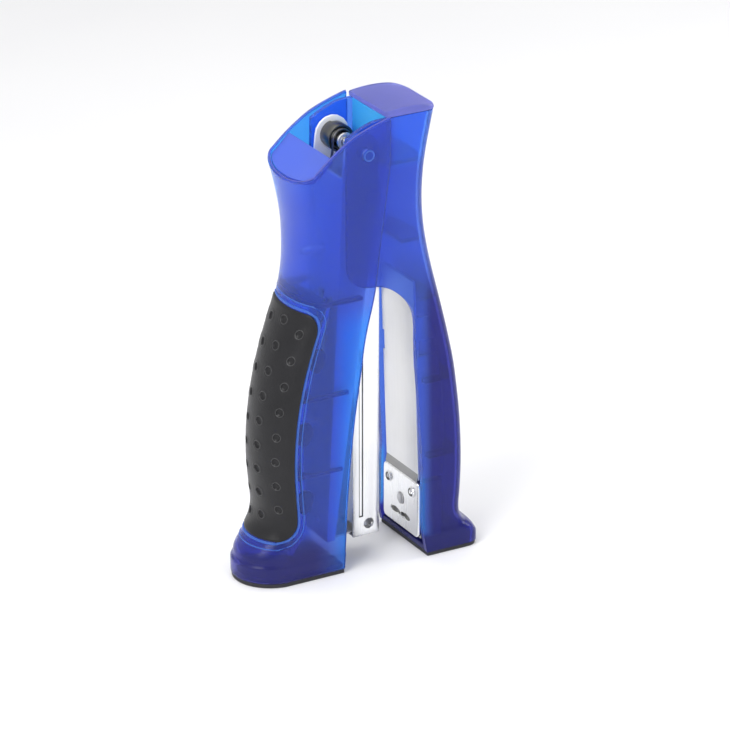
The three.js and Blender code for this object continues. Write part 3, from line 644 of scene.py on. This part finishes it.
def handle_walls():
    zs = levels((FOOT_Z, 22, 0.6), (22, HANDLE_BEND, 1.4), (HANDLE_BEND, HANDLE_TOP, 1.2))
    rows = shell(HANDLE_COLS, zs, handle_col, SCOOP_LINE, HANDLE_BEND, HANDLE_TOP)
    piece("handle_shell_walls", Soup().sheet(rows), HANDLE_BLUE, "handle",
          ["handle_shell"], bevel=0.45)


def handle_rim_highlight():
    """Pale bead sunk into the top edge, in the middle of the wall: a painted highlight along the rim."""
    radius, sunk, z_guess = 0.55, 0.3, 170.0
    bead = []
    for col in HANDLE_COLS:
        x, y, z = handle_col(col, top_at(SCOOP_LINE, handle_col, col, z_guess), WALL / 2)
        bead.append((x, y, z - sunk))
    piece("handle_rim_highlight", Soup().wire(bead, radius), LIT_CAP_BLUE, "handle")


def half_width_at(x, z, inset):
    """Half width of the handle's inside at that X."""
    crease, depth, width = handle_at(z)
    if x >= crease:
        return width - inset
    cosine = lerp(math.cos(CREASE_ANGLE), 1, (crease - x) / (depth - inset))
    if cosine >= 1:
        return 0.0
    return (width - inset) * sideways(math.acos(cosine))


def bay_outline(x_open, z, inset, notch=None, n=28):
    """Plan outline of a rib or pad inside the handle. A notch (x, half width) clears the frame."""
    crease, depth, width = handle_at(z)
    half = width - inset
    pts = [(x_open, -half)]
    for i in range(n + 1):
        a = (-1 + 2 * i / n) * CREASE_ANGLE
        pts.append((crease - (depth - inset) * bulge(a), half * sideways(a)))
    pts.append((x_open, half))
    if notch:
        x, y = notch
        corner = 2
        pts += [(x_open, y), (x + corner, y), (x, y - corner), (x, -y + corner), (x + corner, -y),
                (x_open, -y)]
    return pts


def handle_ribs():
    """Floor of the foot, and three ribs notched for the driver frame."""
    thick, notch_half = 1.5, 12.4
    soup = Soup().slab(bay_outline(-10.2, 3, RIB_INSET), *FOOT_FLOOR)
    for z, x_open, x_notch in ((42.4, -10.2, -25.5), (73.4, -7.8, -23), (110.4, -2.2, -16.5)):
        outline = bay_outline(x_open, z + 0.8, RIB_INSET, (x_notch, notch_half))
        soup.slab(outline, z, z + thick)
    piece("handle_ribs", soup, RIB_BLUE, "handle", bevel=0.3)


def scoop_floor():
    """Sloping, slightly dished floor below the rim, D-shaped in plan, in a paler blue: painted light on its
    up-facing top.
    """
    x_near, x_far, thick, slant, gap = -16.2, -28.6, 1.6, 0.9, 0.02
    n_along, n_across, settle = 40, 30, 6
    for _ in range(settle):
        crease, depth, _ = handle_at(column(SCOOP_LINE, 1, x_far) - slant)
        x_far = crease - (depth - WALL) + gap
    rows = []
    for i in range(n_along + 1):
        t = i / n_along
        x = lerp(x_near, x_far, 1 - (1 - t) ** 1.6)
        z = column(SCOOP_LINE, 1, x) - lerp(0.45, 1.0, smooth(0, 0.25, t))
        half = half_width_at(x, z, WALL + gap)
        row = []
        for k in range(n_across + 1):
            y = half * (-1 + 2 * k / n_across)
            dish = 0.5 * (1 - (y / max(half, 0.1)) ** 2) * math.sin(math.pi * t)
            row.append(((x, y, z - dish), (x + slant, y, z - dish - thick)))
        rows.append(row)
    piece("handle_scoop_floor", Soup().sheet(rows), LIT_FLOOR_BLUE, "handle",
          bevel=0.3, angle=50)


handle_walls()
handle_rim_highlight()
handle_ribs()
scoop_floor()


# ---------------------------------------------------------------- grip
def arc_length(z):
    """Length of the rounded wall from its middle line to a crease."""
    steps = 24
    pts = [Vector(handle_point(i / steps, z)) for i in range(steps + 1)]
    return sum((b - a).length for a, b in zip(pts, pts[1:]))


def grip_reach(z):
    """How far the grip runs from the middle line toward the crease, as a share."""
    full = GRIP_SPAN
    for edge, radius in ((z - GRIP_Z0, 7.5), (GRIP_Z1 - z, 8.5)):
        if edge < radius:
            drop = radius - math.sqrt(max(0.0, radius ** 2 - (radius - edge) ** 2))
            full = min(full, GRIP_SPAN - drop / arc_length(z))
    return full


def edge_steps(length, step=0.42):
    """Distances from one edge to the other, packed close at both edges."""
    start = [0, 0.08, 0.2, 0.38, 0.6, 0.9, 1.3]
    span = length - 2 * start[-1]
    n = max(4, round(span / step))
    middle = [start[-1] + span * i / n for i in range(1, n)]
    return start + middle + [length - s for s in reversed(start)]


def dimple_depth(share, half, z):
    """How deep the dimples cut at a point of the grip; a faint swelling runs round each."""
    depth = 0.0
    for dimple_share, dimple_z in DIMPLES:
        d = math.hypot((share - dimple_share) * half, z - dimple_z)
        if d < 2.6:
            depth += GRIP_THICK * (1 - smooth(1.0, 1.75, d))
            depth -= 0.12 * smooth(1.6, 2.0, d) * (1 - smooth(2.0, 2.6, d))
    return depth


def grip_cover():
    """Rubber cover with rolled edges and dimples, on the rounded wall."""
    width, roll_radius = 38, 1.0  # across is counted as if the cover were this wide everywhere
    rows = []
    for dz in edge_steps(GRIP_Z1 - GRIP_Z0):
        z = GRIP_Z0 + dz
        reach, half = grip_reach(z), arc_length(z)
        row = []
        for s in edge_steps(width):
            share = (-1 + 2 * s / width) * reach
            across = min(s, width - s) * half * reach / (width / 2)
            edge = min(across, dz, GRIP_Z1 - z)
            roll = math.sqrt(max(0.0, 1 - (1 - min(1, edge / roll_radius)) ** 2))
            off = GRIP_LIFT + GRIP_THICK * roll - dimple_depth(share, half, z)
            row.append((handle_point(share, z, off), handle_point(share, z, 0.01)))
        rows.append(row)
    piece("grip_cover", Soup().sheet(rows), GRIP, "handle", ["grip"])


def dimple_lips():
    """A thin lip round each dimple, in lighter, glossier rubber: a painted highlight ring."""
    radius, off, wire, steps = 1.68, 0.62, 0.2, 24
    soup = Soup()
    for share, dimple_z in DIMPLES:
        ring = []
        for i in range(steps + 1):
            a = 2 * math.pi * i / steps
            z = dimple_z + radius * math.sin(a)
            ring.append(handle_point(share + radius * math.cos(a) / arc_length(z), z, off))
        soup.wire(ring, wire)
    piece("grip_dimple_lips", soup, LIP_HIGHLIGHT, "handle")


def grip_outline(out):
    """Closed line round the grip on the shell, that many millimetres outside its edge."""
    n, n_end = 60, 24
    z0, z1 = GRIP_Z0 - out, GRIP_Z1 + out
    top, bottom = grip_reach(GRIP_Z1), grip_reach(GRIP_Z0)
    sides = {}
    for side in (-1, 1):
        sides[side] = []
        for z in (lerp(z0, z1, i / n) for i in range(n + 1)):
            inside = max(GRIP_Z0, min(GRIP_Z1, lerp(GRIP_Z0, GRIP_Z1, (z - z0) / (z1 - z0))))
            sides[side].append((side * (grip_reach(inside) + out / arc_length(z)), z))
    across = [-1 + 2 * i / n_end for i in range(1, n_end)]
    line = sides[-1] + [(top * s, z1) for s in across]
    line += sides[1][::-1] + [(-bottom * s, z0) for s in across]
    return line + line[:1]


def on_shell(share, z, off):
    """A point on the handle: past the crease it carries on along the flat side wall."""
    if abs(share) <= 1:
        return handle_point(share, z, off)
    crease, _, width = handle_at(z)
    return (crease + (abs(share) - 1) * arc_length(z), math.copysign(width + off, share), z)


def grip_rims():
    """Two raised beads of the shell round the grip, sunk a little into the wall."""
    sunk = 0.12
    soup = Soup()
    for out, radius, sides in ((0.75, 0.52, 10), (2.9, 0.28, 8)):
        soup.wire([on_shell(share, z, -sunk) for share, z in grip_outline(out)], radius, sides)
    piece("grip_rim", soup, BUTTON_BLUE, "handle")


def grip_clips():
    """Egg-shaped clips of the grip, which show through the side walls."""
    behind, long_x, long_z, lobe, n = 4.4, 3.7, 4.9, 0.5, 28
    inset, inset_far = 2.15, 3.6
    soup = Soup()
    for z in (33.0, 61.0, 90.0):
        crease, _, width = handle_at(z)
        outline = []
        for i in range(n):
            a = 2 * math.pi * i / n
            outline.append((crease + behind + long_x * math.cos(a),
                            z + long_z * math.sin(a) + lobe * math.cos(2 * a)))
        for side in (-1, 1):
            soup.prism(outline, *sorted((side * (width - inset), side * (width - inset_far))))
    piece("grip_clips", soup, DARK_BLUE, "handle", bevel=0.6)


grip_cover()
dimple_lips()
grip_rims()
grip_clips()


# ---------------------------------------------------------------- base shell
def base_at(z):
    """Crease X, bulge depth and half width of the base half at a height."""
    return tuple(column(BASE_OUTER, i, z) for i in (1, 2, 3))


def base_col(col, z, inset):
    """Point of a base column. The rounded wall is a squarish curve."""
    crease, depth, width = base_at(z)
    kind, share, side = col
    if kind == "flat":
        return (lerp(crease, column(BASE_EDGE, 1, z), share), side * (width - inset), z)
    a = share * math.pi / 2
    c = abs(math.cos(a)) ** (2 / CORNER_POWER)
    s = math.copysign(abs(math.sin(a)) ** (2 / CORNER_POWER), a)
    return (crease + (depth - inset) * c, (width - inset) * s, z)


def base_outline(x_open, z, inset, n=24):
    """Plan outline of a rib or pad of the base half."""
    half = base_at(z)[2] - inset
    pts = [(x_open, -half)]
    pts += [base_col(("round", -1 + 2 * i / n, 0), z, inset)[:2] for i in range(n + 1)]
    return pts + [(x_open, half)]


def base_walls():
    zs = levels((FOOT_Z, 20, 0.6), (20, 94, 1.6), (94, 110, 0.7), (110, 118, 0.3),
                (118, HEAD_BEND, 0.7), (HEAD_BEND, HEAD_TOP, 1.5))
    rows = shell(columns(34, 44), zs, base_col, HEAD_LINE, HEAD_BEND, HEAD_TOP)
    piece("base_shell_walls", Soup().sheet(rows), BASE_BLUE, "base",
          ["base_shell"], bevel=0.4)


def base_ribs():
    """Floor of the foot and five ribs: open edge, height of the outline, underside and top."""
    soup = Soup()
    for x_open, z, z0, z1 in ((24.4, 3, *FOOT_FLOOR), (26.5, 40, 39.2, 40.8),
                              (25, 71, 70.2, 71.8), (22.6, 104.4, 103.6, 105.2),
                              (15.5, 129.3, 128.5, 130.1), (8.8, 161, 160.2, 161.9)):
        soup.slab(base_outline(x_open, z, RIB_INSET), z0, z1)
    piece("base_ribs", soup, BASE_BLUE, "base", bevel=0.25)


def base_web():
    """Wall that closes the head toward the scoop, in pale cyan: painted light glowing through it."""
    half = 12.25
    web = Soup().box(8.7, 10.4, -half, half, 162.0, HEAD_TOP - 0.1)
    piece("base_web", web, GLOWING_WEB_BLUE, "base", bevel=0.25)


def head_cap():
    """Lid with a rounded rim, a shallow step inside it and a squarish far end."""
    n_along, n_across, rim_drop, step = 40, 36, 0.7, 0.3
    crease, depth, width = base_at(180.5)
    x_far = crease + depth
    rows = []
    for i in range(n_along + 1):
        x = lerp(CAP_X, x_far, i / n_along)
        half = width
        if x > crease:
            half = width * (1 - min(1.0, (x - crease) / depth) ** CORNER_POWER) ** (1 / CORNER_POWER)
        row = []
        for k in range(n_across + 1):
            y = half * (-1 + 2 * k / n_across)
            edge = min(half - abs(y), (x_far - x) * 1.4)
            z = column(CAP_LINE, 1, x) - rim_drop * (1 - smooth(0, rim_drop, edge)) ** 1.5
            z -= step * smooth(1.3, 1.7, edge)
            row.append(((x, y, z), (x, y, CAP_FLOOR)))
        rows.append(row)
    # The lid's pale blue is painted light on its top.
    piece("head_cap_lid", Soup().sheet(rows), LIT_CAP_BLUE, "base", ["head_cap"],
          bevel=0.3, angle=50)


def cap_seam():
    """Dark joint line between the head and its lid."""
    gap = 0.02
    seam = Soup().slab(base_outline(8.9, 179.7, 0.25), HEAD_TOP + gap, CAP_FLOOR - gap)
    piece("cap_seam", seam, DARK_BLUE, "base")


base_walls()
base_ribs()
base_web()
head_cap()
cap_seam()


# ---------------------------------------------------------------- pads and pin buttons
def foot_pads():
    inset = 0.4
    for name, outline in (("handle", bay_outline(-10, FOOT_Z, inset)),
                          ("base", base_outline(24.6, FOOT_Z, inset))):
        piece(name + "_pad", Soup().slab(outline, 0.0, PAD_TOP), PAD, name,
              [name + "_foot_pad"], bevel=0.35)


def pin_buttons():
    """Round buttons over the pin's ends, each with a rounded rim round a shallow hollow."""
    seat = 16.8
    rise = [(0, 0), (2.38, 0), (2.38, 0.62), (2.2, 0.82), (1.9, 0.88), (1.55, 0.78), (0, 0.74)]
    x, z = PIVOT
    for name, side in (("front", -1), ("back", 1)):
        button = Soup().turned([(r, side * seat + side * d) for r, d in rise], (x, 0, z), "Y", 48)
        piece("pin_cap_" + name, button, BUTTON_BLUE, "handle", ["pin_button_" + name])


foot_pads()
pin_buttons()


# ---------------------------------------------------------------- anvil
def stop_relief(y, z):
    """Depth of the two C-shaped stops, which stand out of the plate, and of their eyes."""
    rise, eye, slot_half = 0.65, 0.5, 0.8
    depth = 0.0
    for stop_y in (-STOP_Y, STOP_Y):
        d = math.hypot(y - stop_y, z - STOP_Z)
        ring = smooth(0.85, 1.15, d) * (1 - smooth(1.75, 2.1, d))
        if z < STOP_Z and abs(y - stop_y) < slot_half:
            ring *= smooth(0.45, slot_half, abs(y - stop_y))
        depth += eye * (1 - smooth(0.7, 1.0, d)) - rise * ring
    return depth


def clinch_relief(y, z):
    """Depth of the double recess that bends a staple's legs, with a faint raised edge."""
    middle, half_y, half_z, edge_rise = 3.7, 3.6, 1.35, 0.06
    depth = 0.0
    for side in (-1, 1):
        u, w = (y - side * middle) / half_y, (z - CLINCH_Z) / half_z
        d = u * u + w * w
        if d < 1:
            depth += CLINCH_DEPTH * math.sqrt(1 - d) * (0.75 + 0.25 * math.cos(u * 5))
        elif d < 1.5:
            depth -= edge_rise
    return depth


def anvil_face():
    """Plate with rounded corners and edges, the stops, the recess and a seat for the rivet."""
    n_across, n_up = 150, 130
    rows = []
    for j in range(n_up + 1):
        z = lerp(ANVIL_Z0, ANVIL_Z1, j / n_up)
        edge_z = min(z - ANVIL_Z0, ANVIL_Z1 - z)
        half = ANVIL_HALF
        if edge_z < ANVIL_CORNER:
            half -= ANVIL_CORNER - math.sqrt(max(0.0, ANVIL_CORNER ** 2 - (ANVIL_CORNER - edge_z) ** 2))
        row = []
        for i in range(n_across + 1):
            y = half * (-1 + 2 * i / n_across)
            seat = 0.25 * (1 - smooth(2.3, 2.7, math.hypot(y, z - RIVET_Z)))
            rounding = 0.35 * (1 - smooth(0.0, 0.6, min(edge_z, half - abs(y))))
            x = PLATE_X + stop_relief(y, z) + clinch_relief(y, z) + seat + rounding
            row.append(((x, y, z), (PLATE_X + PLATE_THICK, y, z)))
        rows.append(row)
    piece("anvil_face", Soup().sheet(rows), BRIGHT, "base", ["anvil_plate"])


def painted_shade_floor(name, y, z, half_y, half_z, depth_at):
    """Thin dark oval of painted shade that lies on the floor of a hollow in the plate."""
    n_out, n_round, thick = 16, 24, 0.12
    rows = []
    for j in range(n_out + 1):
        share = max(0.02, j / n_out)
        row = []
        for i in range(n_round + 1):
            a = 2 * math.pi * i / n_round
            u, w = share * math.cos(a), share * math.sin(a)
            x = PLATE_X + depth_at(u, w) - thick / 2
            py, pz = y + half_y * u, z + half_z * w
            row.append(((x, py, pz), (x + thick, py, pz)))
        rows.append(row)
    piece(name, Soup().sheet(rows), DRUM_STEEL_AND_SHADE, "base")


def clinch_floor(u, w):
    """Depth of one half of the recess, for an oval that ends a little inside it."""
    bowl = math.sqrt(max(0, 1 - 0.8 * (u * u + w * w)))
    return CLINCH_DEPTH * bowl * (0.75 + 0.25 * math.cos(u * 4.6))


def anvil_painted_shade():
    """Painted shade: dark floors of the recess and of the stops' eyes, and a dark line round each stop."""
    eye, groove, groove_rise, wire, steps = 0.66, 1.42, 0.56, 0.3, 20
    for name, side in (("left", -1), ("right", 1)):
        painted_shade_floor("clinch_" + name, side * 3.6, CLINCH_Z, 3.5, 1.3, clinch_floor)
        painted_shade_floor("stop_eye_" + name, side * STOP_Y, STOP_Z, eye, eye, lambda u, w: 0.42)
        ring = []
        for i in range(steps + 1):
            a = math.radians(-150 + 230 * i / steps)
            y, z = side * STOP_Y + groove * math.cos(a), STOP_Z + groove * math.sin(a)
            ring.append((PLATE_X - groove_rise, y, z))
        piece("stop_groove_" + name, Soup().wire(ring, wire), DRUM_STEEL_AND_SHADE, "base")
    # Painted shade between the two halves of the recess.
    painted_shade_floor("clinch_middle", 0.0, CLINCH_Z, 1.5, 0.6, lambda u, w: 0.0)


def plate_bend():
    """Bend of the base plate just above the anvil, in darker steel: painted shade on its down-facing slope.
    """
    side_view = [(23.0, 28.95), (23.35, 28.95), (24.0, 32.3), (23.62, 32.3)]
    piece("plate_bend", Soup().prism(side_view, -11.8, 11.8), BEND_SHADE, "base", bevel=0.08)


def rivet_head():
    """Domed head on the plate's face and the shank behind it."""
    dome = [(0, -0.62), (0.8, -0.6), (1.6, -0.5), (2.1, -0.3), (2.25, -0.05), (2.25, 0.2)]
    shank = [(1.4, 0.2), (1.4, 4.2), (0, 4.2)]
    rivet = Soup().turned(dome + shank, (PLATE_X, 0, RIVET_Z), "X", 40)
    piece("anvil_rivet_head", rivet, GREY, "base", ["anvil_rivet"])


anvil_face()
anvil_painted_shade()
plate_bend()
rivet_head()


# ---------------------------------------------------------------- springs
def hinge_spring():
    """Return spring on the pin: a leg up from the frame, the coil, and a short end."""
    turns, radius, start, pitch, wire, per_turn = 6.25, 3.75, 2.8, 1.08, 0.48, 28
    leg_x, leg_z, leg_steps = -7.2, 150.0, 8
    x, z = PIVOT
    path = []
    for i in range(leg_steps + 1):
        t = i / leg_steps
        path.append((lerp(leg_x, x - radius, smooth(0, 1, t)), start, lerp(leg_z, z, t)))
    for i in range(1, int(turns * per_turn) + 1):
        turn = i / per_turn
        a = math.pi - turn * 2 * math.pi
        path.append((x + radius * math.cos(a), start + turn * pitch, z + radius * math.sin(a)))
    for i in range(1, 4):
        path.append((x + 1.1 * i, start + turns * pitch, z + radius - 0.1 * i * i))
    piece("hinge_spring", Soup().wire(path, wire, 12), SPRING, "handle",
          ["torsion_spring"])


def leaf_spring():
    """Leaf between the frame screw and the magazine it presses on."""
    line = [(-8.45, 132), (-8.7, 127), (-8.95, 122), (-8.0, 116), (-6.95, 110), (-5.95, 104),
            (-4.95, 97), (-4.0, 90), (-3.2, 84), (-2.85, 80), (-3.2, 77), (-4.05, 74.1)]
    half, half_thick, parts = 7.1, 0.22, 4
    fine = [line[0]]
    for (x0, z0), (x1, z1) in zip(line, line[1:]):
        fine += [(lerp(x0, x1, k / parts), lerp(z0, z1, k / parts)) for k in range(1, parts + 1)]
    rows = []
    for x, z in fine:
        rows.append([((x + half_thick, y, z), (x - half_thick, y, z)) for y in (-half, 0, half)])
    leaf = piece("leaf_spring", Soup().sheet(rows), SPRING, None, ["magazine_spring"])
    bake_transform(leaf)


def pusher_coil():
    """Coil on the guide rod, squashed by the follower."""
    turns, radius, wire, per_turn, x = 20, 2.05, 0.22, 16, 5.0
    low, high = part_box("pusher_spring")
    z0, z1 = low.z / MM + 0.2, high.z / MM - 0.2
    path = []
    for i in range(turns * per_turn + 1):
        t = i / (turns * per_turn)
        a = 2 * math.pi * turns * t
        path.append((x + radius * math.cos(a), radius * math.sin(a), lerp(z0, z1, t)))
    coil = piece("pusher_coil", Soup().wire(path, wire), SPRING, "magazine",
                 ["pusher_spring"])
    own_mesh(coil)


hinge_spring()
leaf_spring()
pusher_coil()


# ---------------------------------------------------------------- staples and magazine
def staples():
    """One stick of single staples, each a U seen from above."""
    outer, inner = STAPLE_HALF, STAPLE_HALF - WIRE_WIDE
    corner = [(0.45, outer), (0.2, 6.2), (STAPLE_X0, 5.95)]
    outline = [(STAPLE_X1, -outer)] + [(x, -y) for x, y in corner] + corner[::-1]
    outline += [(STAPLE_X1, outer), (STAPLE_X1, inner), (STAPLE_X0 + WIRE_THICK, inner),
                (STAPLE_X0 + WIRE_THICK, -inner), (STAPLE_X1, -inner)]
    pitch = (STICK_Z1 - STICK_Z0) / STAPLES
    soup = Soup()
    for i in range(STAPLES):
        z = STICK_Z0 + pitch * i
        soup.slab(outline, z, z + pitch - STAPLE_GAP)
    piece("staples", soup, STAPLE, "magazine", ["staple_strip"])


def magazine_shade_lines():
    """Painted shade: dark lines along the edges of the groove in each side of the magazine, two long ones
    and one across.
    """
    x0, x1, line, z0, z1 = 0.8, 2.0, 0.25, 17.7, 86.9
    soup = Soup()
    for side in (-1, 1):
        y0, y1 = sorted((side * 6.98, side * 7.2))
        soup.box(x0 - line, x0, y0, y1, z0, z1)
        soup.box(x1, x1 + line, y0, y1, z0, z1)
        soup.box(x0, x1, y0, y1, z0, z0 + 0.3)
    piece("magazine_shade_lines", soup, DRUM_STEEL_AND_SHADE, "magazine")


staples()
magazine_shade_lines()


# ---------------------------------------------------------------- stage, light, camera (metres)
def stage_floor():
    """Plain pale floor with a trace of paper grain."""
    size = 4.0
    me = bpy.data.meshes.new("floor")
    corners = [(-size, -size, 0), (size, -size, 0), (size, size, 0), (-size, size, 0)]
    me.from_pydata(corners, [], [(0, 1, 2, 3)])
    floor = bpy.data.objects.new("floor", me)
    bpy.context.scene.collection.objects.link(floor)
    m, nt, bsdf = material("floor_white")
    paper = noise(nt, 8, 2.0, 0.5)
    colour = ramp(nt, paper, 0.3, (0.93, 0.93, 0.935), 0.7, (0.95, 0.95, 0.95))
    nt.links.new(colour, bsdf.inputs["Base Color"])
    bsdf.inputs["Roughness"].default_value = 0.7
    me.materials.append(m)


def studio():
    """Pale surroundings: white behind the handle half, greyer on the other sides, so edges read."""
    world = bpy.data.worlds.new("studio")
    world.use_nodes = True
    nt = world.node_tree
    coord = add(nt, "ShaderNodeTexCoord")
    toward = add(nt, "ShaderNodeVectorMath", operation="DOT_PRODUCT")
    nt.links.new(coord.outputs["Generated"], toward.inputs[0])
    toward.inputs[1].default_value = (-0.75, 0.55, 0.36)
    across = spread(nt, toward.outputs["Value"], 0.0, 1.0)
    shade = ramp(nt, across, 0.2, (0.42, 0.42, 0.44), 0.75, (1.0, 1.0, 1.0))
    nt.links.new(shade, nt.nodes["Background"].inputs["Color"])
    nt.nodes["Background"].inputs["Strength"].default_value = 0.8
    bpy.context.scene.world = world


def area(name, where, size_x, size_y, watts, target=(0, 0, 0.09)):
    """Soft rectangular light that faces the stapler."""
    data = bpy.data.lights.new(name, "AREA")
    data.shape = "RECTANGLE"
    data.size, data.size_y = size_x, size_y
    data.energy = watts
    obj = bpy.data.objects.new(name, data)
    obj.location = where
    obj.rotation_mode = "QUATERNION"
    obj.rotation_quaternion = (Vector(target) - Vector(where)).to_track_quat("-Z", "Y")
    bpy.context.scene.collection.objects.link(obj)


def camera():
    azimuth, elevation = math.radians(29.626), math.radians(23.337)
    level = math.cos(elevation)
    forward = Vector((math.sin(azimuth) * level, math.cos(azimuth) * level, -math.sin(elevation)))
    data = bpy.data.cameras.new("camera")
    data.sensor_width = 36
    data.lens = 229.4
    data.clip_start, data.clip_end = 0.05, 20
    cam = bpy.data.objects.new("camera", data)
    cam.location = Vector((-0.7877, -1.3979, 0.77036))
    cam.rotation_mode = "QUATERNION"
    cam.rotation_quaternion = forward.to_track_quat("-Z", "Y")
    bpy.context.scene.collection.objects.link(cam)
    bpy.context.scene.camera = cam


stage_floor()
studio()
area("key", (-0.75, -0.35, 0.75), 0.5, 0.7, 7.0)
area("front", (0.1, -1.1, 0.45), 0.8, 0.6, 4.0)
area("right", (0.9, -0.1, 0.5), 0.5, 0.6, 4.0)
area("top", (0.0, 0.2, 1.1), 0.8, 0.8, 4.0)
camera()
bpy.context.scene.view_settings.view_transform = "Standard"

bpy.context.view_layer.update()
